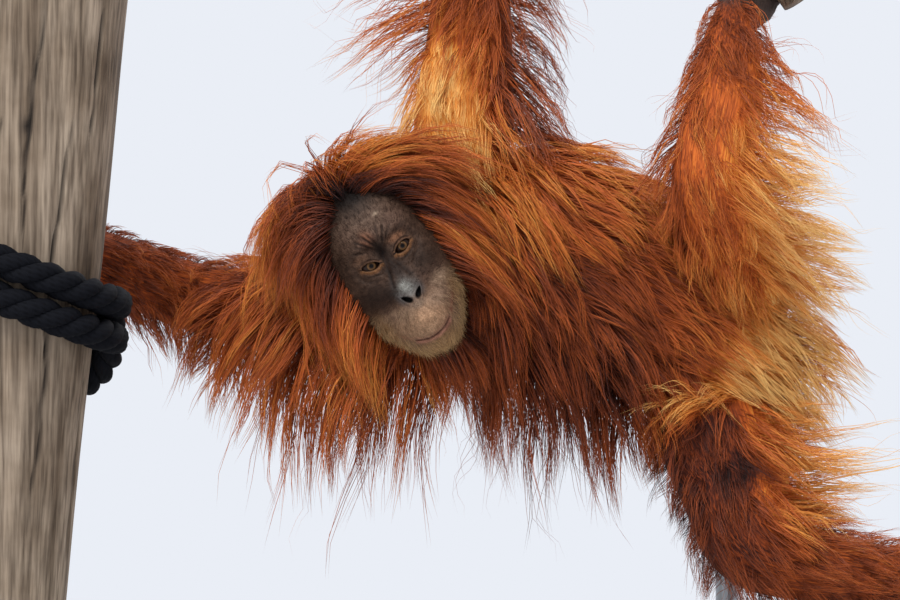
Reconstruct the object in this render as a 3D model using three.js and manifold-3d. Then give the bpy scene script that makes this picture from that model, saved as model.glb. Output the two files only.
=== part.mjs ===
// A young Sumatran orangutan at life size, slung by its hands and feet between cut
// lengths of wood, on a flat stand. Millimetres, +Z up. The animal's chest faces -Y,
// its head lies towards -X and its rump towards +X. The origin is on the floor, on the
// underside of the stand's base.
import * as THREE from "three";
import { mergeVertices } from "three/addons/utils/BufferGeometryUtils.js";
import Module from "manifold-3d";

const wasm = await Module();
wasm.setup();

// Driving sizes
const gap = 0.35; // clearance kept between pieces that touch
const rootDepth = 9; // how deep the root of a lock sits in its node

// Joint centres of the skeleton
const joints = {
  neckTop: [-40, 78, 438],
  neckBase: [28, 112, 452],
  girdle: [-12, 104, 462],
  chest: [48, 116, 452],
  ribs: [108, 120, 421],
  belly: [168, 125, 392],
  loin: [232, 132, 358],
  pelvis: [288, 140, 331],
  rump: [352, 150, 300],
  leftShoulder: [16, 105, 536],
  leftElbow: [25, 125, 787],
  leftWrist: [92, 168, 1010],
  rightShoulder: [-51, 85, 365],
  rightElbow: [-262, 190, 387],
  rightWrist: [-450, 122, 460],
  leftHip: [309, 148, 384],
  leftKnee: [265, 22, 508],
  leftAnkle: [289, 112, 698],
  rightHip: [266, 128, 280],
  rightKnee: [304, 30, 140],
  rightAnkle: [506, 80, 101],
};

// The head: an egg with a set-back orbit plane, a brow and a long muzzle
const head = {
  centre: [-65.5, 50, 431],
  roll: 33.5, // degrees, chin towards +X
  yaw: 0.5, // degrees, face towards +X
  nod: 3, // degrees, chin down
  halfWidth: 64,
  halfDepth: 80,
  halfHeight: 104,
  drop: 12,
  eyeApart: 18.8,
  eyeRadius: 11.5,
  eyeDepth: 52,
};

// What the hands and feet hold: axis through `at` along `along`
const perches = {
  post: { at: [-430, 5, 420], along: [0.105, 0, 1], radius: 80, below: 352, above: 298 },
  bough: { at: [215, 158, 905], along: [0.56, -0.13, -0.82], radius: 21, below: 262, above: 258 },
  stub: { at: [583, 84, 118], along: [0.1, 0.05, 1], radius: 19, below: 78, above: 120 },
};

const stand = { centreX: -60, centreY: 60, length: 960, width: 420, thick: 22 };

// Vector helpers
const vec = (p) => new THREE.Vector3(...p);
const mix = (a, b, t) => a + (b - a) * t;
const bump = (x) => Math.exp(-x * x);
const clamp01 = (x) => Math.min(1, Math.max(0, x));
const ease = (a, b, x) => {
  const t = clamp01((x - a) / (b - a));
  return t * t * (3 - 2 * t);
};

// A seeded draw, so that every build is the same
let seed = 20240611;
const draw = (low = 0, high = 1) => {
  seed = (Math.imul(seed, 1664525) + 1013904223) >>> 0;
  return low + ((high - low) * seed) / 4294967296;
};

// A closed three.js geometry, with each vertex moved by `warp`, as a solid
function solid(geometry, warp) {
  const g = geometry.clone();
  g.deleteAttribute("normal");
  g.deleteAttribute("uv");
  const p = g.getAttribute("position");
  const v = new THREE.Vector3();
  for (let i = 0; warp && i < p.count; i++) {
    warp(v.fromBufferAttribute(p, i));
    p.setXYZ(i, v.x, v.y, v.z);
  }
  const merged = mergeVertices(g, 1e-4);
  return new wasm.Manifold(
    new wasm.Mesh({
      numProp: 3,
      vertProperties: new Float32Array(merged.attributes.position.array),
      triVerts: new Uint32Array(merged.index.array),
    }),
  );
}

const join = (parts) => parts.reduce((a, b) => a.add(b));

// A value read along a list of evenly spaced values, eased between them
function along(values, t) {
  const x = clamp01(t) * (values.length - 1);
  const i = Math.min(values.length - 2, Math.floor(x));
  return mix(values[i], values[i + 1], x - i);
}

// A limb: a curve through joints with a radius that varies along it. `flat` squeezes the
// section in depth. `at` gives the frame at t, `point` a point on the skin, and `make`
// the solid, grown by `extra`.
function limb({ path, radii, flat = 1, sides = 12, rings = 12, blunt = 6, depth = [0, 1, 0] }) {
  const curve = new THREE.CatmullRomCurve3(path.map(vec), false, "centripetal");
  const at = (t) => {
    const centre = curve.getPointAt(clamp01(t));
    const tangent = curve.getTangentAt(clamp01(t));
    const back = vec(depth).addScaledVector(tangent, -vec(depth).dot(tangent)).normalize();
    const across = new THREE.Vector3().crossVectors(back, tangent);
    return { centre, tangent, back, across };
  };
  // Angle 0 points across the limb in the picture plane, 90 away from the viewer
  const point = (t, angle, extra = 0) => {
    const f = at(t);
    const end = Math.sqrt(Math.max(0, 1 - Math.abs(2 * t - 1) ** blunt));
    const r = along(radii, t) * end + extra * (end > 0 ? 1 : 0);
    const a = (angle * Math.PI) / 180;
    return f.centre
      .addScaledVector(f.across, Math.cos(a) * r)
      .addScaledVector(f.back, Math.sin(a) * (r * flat + extra * (1 - flat)));
  };
  const make = (extra = 0) =>
    solid(new THREE.SphereGeometry(1, sides, rings), (v) => {
      const t = (1 - v.y) / 2;
      const angle = (Math.atan2(v.z, v.x) * 180) / Math.PI;
      const pole = Math.abs(v.y) > 0.9999;
      const stretch = pole ? Math.sign(t - 0.5) * extra : 0;
      const p = pole ? at(t).centre.addScaledVector(at(t).tangent, stretch) : point(t, angle, extra);
      v.copy(p);
    });
  const tOf = (p) => {
    const steps = [...Array(201).keys()].map((k) => k / 200);
    const off = (t) => curve.getPointAt(t).distanceTo(vec(p));
    return steps.reduce((a, b) => (off(b) < off(a) ? b : a));
  };
  const place = (t, angle) => {
    const skin = point(t, angle);
    return { skin, normal: skin.clone().sub(at(t).centre).normalize() };
  };
  return { at, point, place, make, tOf };
}

// A thin disc square to a limb at t: subtracting it parts the limb there
function cutDisc(part, t, radius) {
  const f = part.at(t);
  const turn = new THREE.Quaternion().setFromUnitVectors(new THREE.Vector3(0, 1, 0), f.tangent);
  return solid(new THREE.CylinderGeometry(radius, radius, gap, 20), (v) =>
    v.applyQuaternion(turn).add(f.centre),
  );
}

// The piece nearest to a marker, by the middle of its box, out of the three largest
function pieceAt(pieces, marker) {
  const big = [...pieces].sort((a, b) => b.volume() - a.volume()).slice(0, 3);
  const off = (p) => {
    const b = p.boundingBox();
    return vec(b.min).add(vec(b.max)).multiplyScalar(0.5).distanceTo(vec(marker));
  };
  return big.sort((a, b) => off(a) - off(b))[0];
}

const largest = (part) => part.decompose().sort((a, b) => b.volume() - a.volume())[0];

// Head frame: local +X to the animal's left, -Y out of the face, +Z to the crown
const headTurn = new THREE.Matrix4()
  .makeRotationY((head.roll * Math.PI) / -180)
  .multiply(new THREE.Matrix4().makeRotationZ((head.yaw * Math.PI) / 180))
  .multiply(new THREE.Matrix4().makeRotationX((head.nod * Math.PI) / 180));
headTurn.setPosition(vec(head.centre));
const fromHead = (x, y, z) => new THREE.Vector3(x, y, z).applyMatrix4(headTurn);
const turnFromHead = (x, y, z) => new THREE.Vector3(x, y, z).transformDirection(headTurn);

// The skin of the head in the direction d from its centre, in head coordinates
function headSkin(d, extra = 0) {
  const z = -head.drop + head.halfHeight * d.z;
  const low = ease(-10, -115, z);
  const face = ease(0, 0.55, -d.y);
  let x = head.halfWidth * d.x * (1 - 0.24 * low);
  let y = head.halfDepth * d.y * (d.y > 0 ? 1 - 0.45 * low : 1);
  y += face * 15 * bump(z / 27) * bump(x / 46); // orbits set back
  y -= face * 47 * bump(x / 37) * bump((z + 80) / 35); // muzzle
  y -= face * 6 * bump((z - 21) / 10) * bump(x / 40); // brow
  y -= face * 7 * bump(x / 12) * bump((z + 43) / 13); // nose
  x += Math.sign(d.x) * 5 * bump((Math.abs(x) - 44) / 20) * bump((z + 38) / 26) * face; // cheeks
  const out = new THREE.Vector3(d.x, d.y, d.z).multiplyScalar(extra);
  return new THREE.Vector3(x, y, z).add(out);
}

// Rings of the head's sphere are closer together on the face
const headSphere = new THREE.SphereGeometry(1, 28, 20).rotateX(Math.PI);
function headSolid(extra) {
  return solid(headSphere, (v) => {
    const polar = Math.acos(Math.min(1, Math.max(-1, -v.y)));
    const dense = Math.PI * (polar / Math.PI) ** 1.35;
    const ring = Math.hypot(v.x, v.z) || 1;
    const spread = Math.sin(dense) / ring;
    const d = new THREE.Vector3(v.x * spread, -Math.cos(dense), v.z * spread);
    v.copy(headSkin(d, extra)).applyMatrix4(headTurn);
  });
}

// How far forward the face lies at (x, z), found by a ray, in head coordinates
const faceMesh = new THREE.Mesh(
  mergeVertices(
    (() => {
      const g = new THREE.SphereGeometry(1, 60, 44).rotateX(Math.PI);
      const p = g.getAttribute("position");
      const v = new THREE.Vector3();
      for (let i = 0; i < p.count; i++) {
        const s = headSkin(v.fromBufferAttribute(p, i).normalize());
        p.setXYZ(i, s.x, s.y, s.z);
      }
      return g;
    })(),
  ),
);
function faceY(x, z) {
  const ray = new THREE.Raycaster(new THREE.Vector3(x, -300, z), new THREE.Vector3(0, 1, 0));
  const hits = ray.intersectObject(faceMesh);
  return hits.length ? hits[0].point.y : 0;
}

// An ellipsoid in head coordinates
const headBall = (centre, size, sides = 8, rings = 6) =>
  solid(new THREE.SphereGeometry(1, sides, rings), (v) => {
    v.set(centre[0] + v.x * size[0], centre[1] + v.y * size[1], centre[2] + v.z * size[2]);
    v.applyMatrix4(headTurn);
  });

// A bead of even thickness that follows the face through (x, z) points
function faceBead(points, radius, sunk, sides = 5, rings = 9) {
  const path = points.map(([x, z]) => fromHead(x, faceY(x, z) + sunk, z).toArray());
  const tips = [radius * 0.5, radius, radius, radius, radius * 0.5];
  return limb({ path, radii: tips, sides, rings, blunt: 8 }).make();
}

const smile = { halfWidth: 27, z: -90, rise: 9, centreX: 0 };
const smileLine = (lift, spread = 1) =>
  [-1, -0.6, 0, 0.6, 1].map((k) => [
    smile.centreX + k * smile.halfWidth * spread,
    smile.z + lift * (1 - 0.6 * k * k) + smile.rise * k * k,
  ]);

// Eyelids: two beads over and under each eye, meeting at its corners
function lids(side) {
  const x0 = side * head.eyeApart;
  const bow = (up) =>
    [-1, -0.5, 0, 0.5, 1].map((k) => {
      const z = up * 6.2 * (1 - k * k) + side * k * 0.8;
      const y = -head.eyeDepth - Math.sqrt(Math.max(20, 12.6 ** 2 - (12 * k) ** 2 - z * z));
      return fromHead(x0 + k * 12, y, z).toArray();
    });
  const shape = { radii: [2, 3.4, 3.6, 3.4, 2], sides: 5, rings: 7, blunt: 8 };
  return [limb({ path: bow(1), ...shape }).make(), limb({ path: bow(-1), ...shape }).make()];
}

const eyeAt = (side, extra) =>
  headBall([side * head.eyeApart, -head.eyeDepth, 0], Array(3).fill(head.eyeRadius + extra), 12, 9);

function makeHead() {
  const raised = [headSolid(0), ...lids(-1), ...lids(1)];
  raised.push(faceBead(smileLine(4.4), 4.6, 1.4)); // upper lip
  raised.push(faceBead(smileLine(-5.2, 0.86), 5, 1.2)); // lower lip
  for (const side of [-1, 1]) {
    raised.push(headBall([side * 7.5, faceY(side * 7.5, -44) + 1, -44], [5.5, 5, 5.5])); // nostril wing
  }
  let made = join(raised);
  for (const side of [-1, 1]) {
    made = made.subtract(eyeAt(side, gap));
    made = made.subtract(headBall([side * 7, faceY(side * 7, -47) - 3, -47], [3.6, 7, 3]));
    made = made.subtract(earAt(side, gap));
  }
  made = made.subtract(faceBead(smileLine(0, 1.04), 1.5, -2.4)); // line of the mouth
  return made;
}

// Ear: a small flat shell with a cup
function earAt(side, extra) {
  const size = [7 + extra, 12 + extra, 18 + extra];
  const outer = headBall([side * 66, 6, -6], size, 10, 8);
  return extra > 0 ? outer : outer.subtract(headBall([side * 74, 3, -5], [8, 7, 12]));
}

// Body
const j = joints;
const trunk = limb({
  path: [j.girdle, j.chest, j.ribs, j.belly, j.loin, j.pelvis, j.rump],
  radii: [82, 104, 106, 99, 93, 90, 60],
  flat: 0.84,
  sides: 16,
  rings: 14,
  blunt: 5,
});
const neck = limb({
  path: [j.neckTop, j.neckBase, j.chest],
  radii: [62, 66, 60],
  sides: 11,
  rings: 6,
});
const between = (a, b, t, shift = [0, 0, 0]) => a.map((x, i) => mix(x, b[i], t) + shift[i]);
const leftArm = limb({
  path: [
    between(j.leftShoulder, j.chest, 0.55),
    j.leftShoulder,
    between(j.leftShoulder, j.leftElbow, 0.5),
    j.leftElbow,
    between(j.leftElbow, j.leftWrist, 0.5),
    j.leftWrist,
  ],
  radii: [52, 58, 47, 41, 38, 42, 35, 26],
  sides: 11,
  rings: 14,
});
const rightArm = limb({
  path: [
    between(j.rightShoulder, j.chest, 0.5),
    j.rightShoulder,
    between(j.rightShoulder, j.rightElbow, 0.5),
    j.rightElbow,
    between(j.rightElbow, j.rightWrist, 0.5, [0, 6, 0]),
    j.rightWrist,
  ],
  radii: [52, 56, 46, 42, 38, 36, 33, 26],
  sides: 11,
  rings: 14,
});
const leftLeg = limb({
  path: [
    between(j.leftHip, j.pelvis, 0.4),
    j.leftHip,
    between(j.leftHip, j.leftKnee, 0.55),
    j.leftKnee,
    between(j.leftKnee, j.leftAnkle, 0.5, [4, 6, 0]),
    j.leftAnkle,
  ],
  radii: [60, 64, 56, 48, 42, 41, 34, 26],
  sides: 11,
  rings: 14,
});
const rightLeg = limb({
  path: [
    between(j.rightHip, j.pelvis, 0.4),
    j.rightHip,
    between(j.rightHip, j.rightKnee, 0.55),
    j.rightKnee,
    between(j.rightKnee, j.rightAnkle, 0.5, [0, 4, -9]),
    j.rightAnkle,
  ],
  radii: [62, 66, 60, 50, 42, 38, 32, 26],
  sides: 11,
  rings: 14,
});

// Wood: a round length with slow wobble, square cut at both ends
function woodLimb(perch, extra, sides, swell) {
  const axis = vec(perch.along).normalize();
  const turn = new THREE.Quaternion().setFromUnitVectors(new THREE.Vector3(0, 1, 0), axis);
  const length = perch.below + perch.above + extra * 2;
  const geometry = new THREE.CylinderGeometry(1, 1, 1, sides, 6);
  return solid(geometry, (v) => {
    const s = (v.y + 0.5) * length - perch.below - extra;
    const wobble = 1 + swell * Math.sin(s / 70 + 1) * Math.cos(Math.atan2(v.z, v.x) * 2);
    v.set(v.x * (perch.radius * wobble + extra), s, v.z * (perch.radius * wobble + extra));
    v.applyQuaternion(turn).add(vec(perch.at));
  });
}
const woods = {
  post: (extra = 0) => woodLimb(perches.post, extra, 20, 0.012),
  bough: (extra = 0) => woodLimb(perches.bough, extra, 14, 0.05),
  stub: (extra = 0) => woodLimb(perches.stub, extra, 14, 0.04),
};

// A hand or foot that grips a perch. The palm runs from the wrist to the knuckles, at
// `knuckle` degrees round the perch, and the digits go on from there to `tip`.
function grip({ perch, from, wrist, turn, pitch, palm, digit, knuckle, tip, thumb }) {
  const axis = vec(perch.along).normalize();
  const w = vec(wrist);
  const foot = axis.clone().multiplyScalar(w.clone().sub(vec(perch.at)).dot(axis)).add(vec(perch.at));
  const out = w.clone().sub(foot).normalize();
  const side = new THREE.Vector3().crossVectors(axis, out).multiplyScalar(turn);
  const round = (degrees, radius, shift) => {
    const a = (degrees * Math.PI) / 180;
    return foot
      .clone()
      .addScaledVector(out, Math.cos(a) * radius)
      .addScaledVector(side, Math.sin(a) * radius)
      .addScaledVector(axis, shift);
  };
  const parts = [];
  const palmRadius = perch.radius + palm.thick * 0.5;
  const heel = w.clone().addScaledVector(vec(from).sub(w).normalize(), palm.heel);
  const knuckles = round(knuckle + 12, palmRadius, 0);
  const mid = heel.clone().lerp(knuckles, 0.5).addScaledVector(round(knuckle * 0.4, 9, 0).sub(foot), 1);
  parts.push(
    limb({
      path: [heel, mid, knuckles].map((p) => p.toArray()),
      radii: [0.36, 0.46, 0.52, 0.48].map((k) => palm.width * k),
      flat: palm.thick / palm.width,
      depth: round(knuckle * 0.5, 1, 0).sub(foot).toArray(),
      sides: 8,
      rings: 7,
      blunt: 4,
    }).make(),
  );
  for (let k = 0; k < 4; k++) {
    const shift = (k - 1.5) * pitch;
    const reach = tip - knuckle;
    const last = knuckle + reach * [0.86, 1, 0.97, 0.84][k];
    const r = perch.radius + digit.radius * 0.92;
    const root = round(knuckle - 24, palmRadius, shift * 0.8).toArray();
    const joint = (angle, lift) => round(angle, r + lift, shift).toArray();
    const path = [root, joint(knuckle + reach * 0.3, 2), joint(knuckle + reach * 0.65, 1), joint(last, 0)];
    const thick = [digit.radius, digit.radius * 1.02, digit.radius * 0.9, digit.radius * 0.72];
    parts.push(limb({ path, radii: thick, sides: 5, rings: 6 }).make());
  }
  const thumbPath = [0, 0.5, 1].map((s) => {
    const angle = mix(thumb.from, thumb.to, s);
    return round(angle, perch.radius + mix(16, 8, s), thumb.shift * (0.55 + 0.45 * s)).toArray();
  });
  const thumbThick = [digit.radius * 1.1, digit.radius, digit.radius * 0.75];
  parts.push(limb({ path: thumbPath, radii: thumbThick, sides: 5, rings: 5 }).make());
  return { parts, middle: round(knuckle, perch.radius + 4, 0).toArray() };
}

const handShape = { palm: { width: 72, thick: 28, heel: 24 }, digit: { radius: 8.3 }, pitch: 17.8 };
const footShape = { palm: { width: 66, thick: 32, heel: 26 }, digit: { radius: 7.8 }, pitch: 16.6 };
const grips = {
  leftHand: grip({
    ...handShape,
    perch: perches.bough,
    from: j.leftElbow,
    wrist: j.leftWrist,
    turn: -1,
    knuckle: 78,
    tip: 285,
    thumb: { from: -30, to: -105, shift: 34 },
  }),
  rightHand: grip({
    ...handShape,
    perch: perches.post,
    from: j.rightElbow,
    wrist: j.rightWrist,
    turn: 1,
    knuckle: 40,
    tip: 92,
    thumb: { from: 8, to: 36, shift: 50 },
  }),
  leftFoot: grip({
    ...footShape,
    perch: perches.bough,
    from: j.leftKnee,
    wrist: j.leftAnkle,
    turn: 1,
    knuckle: 72,
    tip: 265,
    thumb: { from: -30, to: -110, shift: 30 },
  }),
  rightFoot: grip({
    ...footShape,
    perch: perches.stub,
    from: j.rightKnee,
    wrist: j.rightAnkle,
    turn: 1,
    knuckle: 78,
    tip: 270,
    thumb: { from: -30, to: -110, shift: 30 },
  }),
};

// Fit the flesh together, outer pieces cut back from what they grow on
const headGrown = headSolid(gap);
const trunkGrown = trunk.make(gap);
const nodes = new Map();
const put = (name, part) => nodes.set(name, largest(part));

put("head", makeHead());
put("eye_left", eyeAt(1, 0));
put("eye_right", eyeAt(-1, 0));
put("ear_left", earAt(1, 0).subtract(headGrown));
put("ear_right", earAt(-1, 0).subtract(headGrown));

const trunkCuts = [0.38, 0.7].map((t) => cutDisc(trunk, t, 150));
const trunkBare = trunk.make().subtract(headGrown);
const trunkPieces = trunkCuts.reduce((m, c) => m.subtract(c), trunkBare).decompose();
for (const [name, t] of [["chest", 0.19], ["belly", 0.54], ["pelvis", 0.85]]) {
  put(name, pieceAt(trunkPieces, trunk.at(t).centre.toArray()));
}
const earsGrown = earAt(1, gap).add(earAt(-1, gap));
put("neck", neck.make().subtract(trunkGrown).subtract(headGrown).subtract(earsGrown));

// Each limb is made whole with its hand or foot, cut back from what it grows on and
// from what it holds, then parted at its middle joint and a little above its wrist
const neckGrown = neck.make(gap);
const limbSets = [
  ["left", "arm", leftArm, grips.leftHand, woods.bough(gap), j.leftElbow],
  ["right", "arm", rightArm, grips.rightHand, woods.post(gap), j.rightElbow],
  ["left", "leg", leftLeg, grips.leftFoot, woods.bough(gap), j.leftKnee],
  ["right", "leg", rightLeg, grips.rightFoot, woods.stub(gap), j.rightKnee],
];
const limbNames = { arm: ["upper_arm", "forearm", "hand"], leg: ["thigh", "shin", "foot"] };
const wristCut = { t: 0.93, radius: 44 };
const jointCutRadius = 92;
let legsGrown = null;
for (const [side, kind, shape, held, wood, middleJoint] of limbSets) {
  const flesh = join([shape.make(), ...held.parts]);
  const cutters = [trunkGrown, headGrown, earsGrown, neckGrown, wood];
  if (kind === "leg" && legsGrown) cutters.push(legsGrown);
  cutters.push(cutDisc(shape, shape.tOf(middleJoint), jointCutRadius));
  cutters.push(cutDisc(shape, wristCut.t, wristCut.radius));
  const pieces = cutters.reduce((m, c) => m.subtract(c), flesh).decompose();
  if (kind === "leg") legsGrown = shape.make(gap);
  const tMid = shape.tOf(middleJoint);
  const markers = [shape.at(tMid * 0.6), shape.at((tMid + wristCut.t) / 2)].map((f) => f.centre.toArray());
  markers.push(held.middle);
  limbNames[kind].forEach((name, i) => put(`${name}_${side}`, pieceAt(pieces, markers[i])));
}

// Perches and stand
put("perch_post", woods.post());
put("perch_bough", woods.bough());
put("perch_stub", woods.stub());

// The lashing: two turns of thick rope round the post, side by side. They slope down
// towards +X in front and sink behind, below the hand.
const rope = { radius: 16.8, slope: 0.38, sag: 62, turns: { upper: 419, lower: 383.6 } };
const postAxis = vec(perches.post.along).normalize();
const ropeKeepOff = woods.post(gap).add(rightArm.make(gap));
for (const [name, height] of Object.entries(rope.turns)) {
  const centre = vec(perches.post.at).addScaledVector(postAxis, height - perches.post.at[2]);
  const shape = new THREE.TorusGeometry(perches.post.radius + rope.radius - 1, rope.radius, 6, 22);
  const turn = solid(shape, (v) => {
    v.z -= rope.slope * v.x + rope.sag * ease(-45, 60, v.y - 0.5 * v.x);
    v.add(centre);
  });
  put(`lashing_${name}`, turn.subtract(ropeKeepOff));
}

const baseShape = new THREE.BoxGeometry(stand.length, stand.width, stand.thick);
put(
  "stand_base",
  solid(baseShape, (v) => v.add(vec([stand.centreX, stand.centreY, stand.thick / 2]))),
);
const rod = (x, y, top, radius) =>
  solid(new THREE.CylinderGeometry(radius, radius, top - stand.thick - gap, 24), (v) =>
    v.applyAxisAngle(new THREE.Vector3(1, 0, 0), Math.PI / 2).add(vec([x, y, (top + stand.thick + gap) / 2])),
  );
put(
  "stand_rod_body",
  rod(288, 196, 330, 12).subtract(trunkGrown).subtract(leftLeg.make(gap)).subtract(rightLeg.make(gap)),
);
put("stand_rod_post", rod(-467, 5, 110, 24).subtract(woods.post(gap)));

// The coat. A row of locks grows on one node between two places, each a share of the limb's
// length and an angle round it, or on the head an angle from the crown and one round it.
// The hair leaves the skin along `flow`, lifted by `lift`, and ends along `fall`.
const headCoat = {
  place(polar, azimuth) {
    const p = (polar * Math.PI) / 180;
    const a = (azimuth * Math.PI) / 180;
    const d = new THREE.Vector3(Math.sin(p) * Math.sin(a), -Math.sin(p) * Math.cos(a), Math.cos(p));
    const skin = headSkin(d);
    const { halfWidth, halfDepth, halfHeight } = head;
    const normal = new THREE.Vector3(d.x / halfWidth, d.y / halfDepth, d.z / halfHeight).normalize();
    return { skin: fromHead(...skin), normal: turnFromHead(...normal) };
  },
};
const row = (node, on, from, to, count, long, flow, fall, more = {}) => ({
  node,
  on,
  from,
  to,
  count,
  long,
  flow,
  fall,
  lift: 0.3,
  wide: 38,
  thick: 6,
  ...more,
});
const down = [0, 0, -1];
const fine = { wide: 29 };
const coat = [
  // Right upper arm: the hair sweeps to the elbow and hangs in a deep fringe
  row("upper_arm_right", rightArm, [0.2, 215], [0.53, 205], 5, [105, 130, 120, 72], [-6, -1, -7], [-3, 0, -10]),
  row("upper_arm_right", rightArm, [0.17, 160], [0.5, 165], 4, [100, 122, 112, 75], [-6, 1, -7], [-3, 0, -10]),
  row("upper_arm_right", rightArm, [0.22, 105], [0.5, 105], 4, [95, 100, 90], [-5, 1, -8], down),
  row("upper_arm_right", rightArm, [0.3, 20], [0.52, 10], 2, [75, 60], [-10, 2, 1], [-10, 3, -2]),
  // Right forearm: shorter hair that runs back to the elbow
  row("forearm_right", rightArm, [0.62, 190], [0.84, 190], 3, [62, 52, 40], [6, -1, -8], [3, 0, -10], fine),
  row("forearm_right", rightArm, [0.62, 110], [0.84, 110], 3, [66, 58, 45], [6, 1, -6], [3, 0, -10], fine),
  // Chest and belly: a long fringe along the lower flank, a shorter one on the upper
  row("chest", trunk, [0.12, -8], [0.35, -8], 3, [108, 128, 120], [-2, -3, -10], [-1, 0, -10]),
  row("chest", trunk, [0.1, 35], [0.35, 35], 3, [110, 125, 120], [0, 1, -10], down),
  row("chest", trunk, [0.12, 82], [0.34, 82], 2, [110, 120, 110], [2, 2, -10], down),
  row("chest", trunk, [0.12, 128], [0.34, 130], 3, [90, 100, 90], [8, 3, -6], [4, 1, -10]),
  row("chest", trunk, [0.16, 172], [0.34, 178], 3, [95, 95, 90], [9, 0, -2], [8, 0, -5]),
  row("belly", trunk, [0.41, -10], [0.66, -10], 3, [120, 122, 105], [1, -3, -10], [2, 0, -10]),
  row("belly", trunk, [0.41, 35], [0.66, 35], 3, [115, 120, 105], [1, 1, -10], [1, 0, -10]),
  row("belly", trunk, [0.41, 85], [0.66, 80], 2, [105, 105, 95], [3, 2, -10], [1, 0, -10]),
  row("belly", trunk, [0.42, 132], [0.64, 128], 3, [90, 95, 85], [8, 3, -6], [5, 1, -9]),
  row("belly", trunk, [0.42, 175], [0.55, 172], 2, [88, 72], [9, 1, 0], [8, 0, -4]),
  // Rump
  row("pelvis", trunk, [0.76, 50], [0.9, 60], 2, [80, 70], [3, 3, -10], [2, 1, -10]),
  row("pelvis", trunk, [0.76, 125], [0.9, 120], 2, [78, 70], [7, 4, -5], [5, 2, -8]),
  // Left upper arm: wisps to the side over the head, a mane behind, curls on the right
  row("upper_arm_left", leftArm, [0.3, 165], [0.52, 165], 4, [72, 108, 112], [-10, 0, -1], [-9, 0, -3]),
  row("upper_arm_left", leftArm, [0.26, 10], [0.52, 10], 4, [80, 90, 85], [8, 0, -5], [5, 0, -9]),
  row("upper_arm_left", leftArm, [0.27, 60], [0.52, 60], 2, [85, 90, 85], [3, 6, -6], down),
  row("upper_arm_left", leftArm, [0.27, 115], [0.52, 115], 2, [90, 95, 90], [-3, 6, -6], down),
  // Left forearm
  row("forearm_left", leftArm, [0.6, 175], [0.88, 175], 3, [85, 80, 55], [-9, 0, -5], [-4, 0, -10], fine),
  row("forearm_left", leftArm, [0.6, 5], [0.88, 5], 3, [85, 80, 55], [9, 0, -5], [4, 0, -10], fine),
  row("forearm_left", leftArm, [0.6, 90], [0.88, 90], 3, [85, 80, 55], [0, 9, -5], down, fine),
  // Left leg: a golden fringe along the back of the leg
  row("thigh_left", leftLeg, [0.27, 12], [0.48, 5], 4, [62, 84, 88, 84], [9, 1, -2], [10, 0, -2]),
  row("thigh_left", leftLeg, [0.32, 45], [0.48, 45], 2, [72, 78], [9, 4, -1], [8, 1, -5]),
  row("shin_left", leftLeg, [0.58, 10], [0.88, 5], 4, [90, 85, 60], [8, 1, -5], [8, 0, -6]),
  row("shin_left", leftLeg, [0.6, 80], [0.86, 80], 2, [80, 75, 55], [2, 8, -5], [1, 1, -10]),
  row("shin_left", leftLeg, [0.6, 170], [0.84, 170], 2, [62, 48], [-8, 0, -5], [-2, 0, -10], fine),
  // Right leg: the same fringe, level on the thigh and hanging under the shin
  row("thigh_right", rightLeg, [0.22, 175], [0.4, 175], 4, [66, 84, 94, 88], [10, 1, 3], [10, 0, 1]),
  row("thigh_right", rightLeg, [0.26, 125], [0.42, 125], 3, [72, 84, 80], [8, 5, 0], [8, 1, -4]),
  row("shin_right", rightLeg, [0.58, 5], [0.86, 0], 4, [52, 55, 44], [7, 0, -6], [8, 0, -4], fine),
  row("shin_right", rightLeg, [0.58, 80], [0.86, 75], 3, [55, 52, 45], [6, 4, -5], [7, 0, -5], fine),
  row("shin_right", rightLeg, [0.62, 175], [0.82, 175], 2, [55, 42], [10, 0, 2], [10, 0, -2], fine),
  // From the temple over the neck to the chest
  row("head", headCoat, [42, 50], [80, 88], 3, [100, 118, 112], [8, -4, -3], [6, -1, -9], { wide: 34, lift: 0.5 }),
];
// Rows on the head are given in the head's own directions
const headRow = (from, to, count, long, flow, fall, more) => {
  const turned = [flow, fall].map((d) => turnFromHead(...d).toArray());
  return row("head", headCoat, from, to, count, long, ...turned, { wide: 34, thick: 5, ...more });
};
coat.push(
  headRow([34, -150], [34, -10], 3, [95, 95, 90], [-5, -4, 1], [-5, -1, -9]),
  headRow([38, 20], [36, 150], 3, [90, 95, 95], [9, -2, 1], [8, 1, -8]),
  headRow([62, -140], [66, -64], 3, [100, 100, 85], [-7, 0, -7], [-4, 0, -10]),
  headRow([92, -100], [98, -68], 2, [80, 72], [-6, -1, -8], [-3, -1, -10]),
  headRow([122, -100], [130, -66], 2, [70, 60], [-5, -1, -9], [-3, 0, -10]),
);

// The middle line of a lock whose root is `share` of the way along its row
function lockCurve(r, share, bend, long) {
  const at = r.on.place(mix(r.from[0], r.to[0], share), mix(r.from[1], r.to[1], share));
  const lead = vec(r.flow).normalize().addScaledVector(at.normal, r.lift + bend).normalize();
  const last = vec(r.fall).normalize().addScaledVector(at.normal, bend * 0.6).normalize();
  const middle = lead.clone().add(last).normalize();
  const root = at.skin.clone().addScaledVector(at.normal, -rootDepth).addScaledVector(lead, -4);
  const near = at.skin.clone().addScaledVector(lead, long * 0.3);
  const far = near.clone().addScaledVector(middle, long * 0.36);
  const tip = far.clone().addScaledVector(last, long * 0.36);
  return new THREE.CubicBezierCurve3(root, near, far, tip);
}

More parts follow.
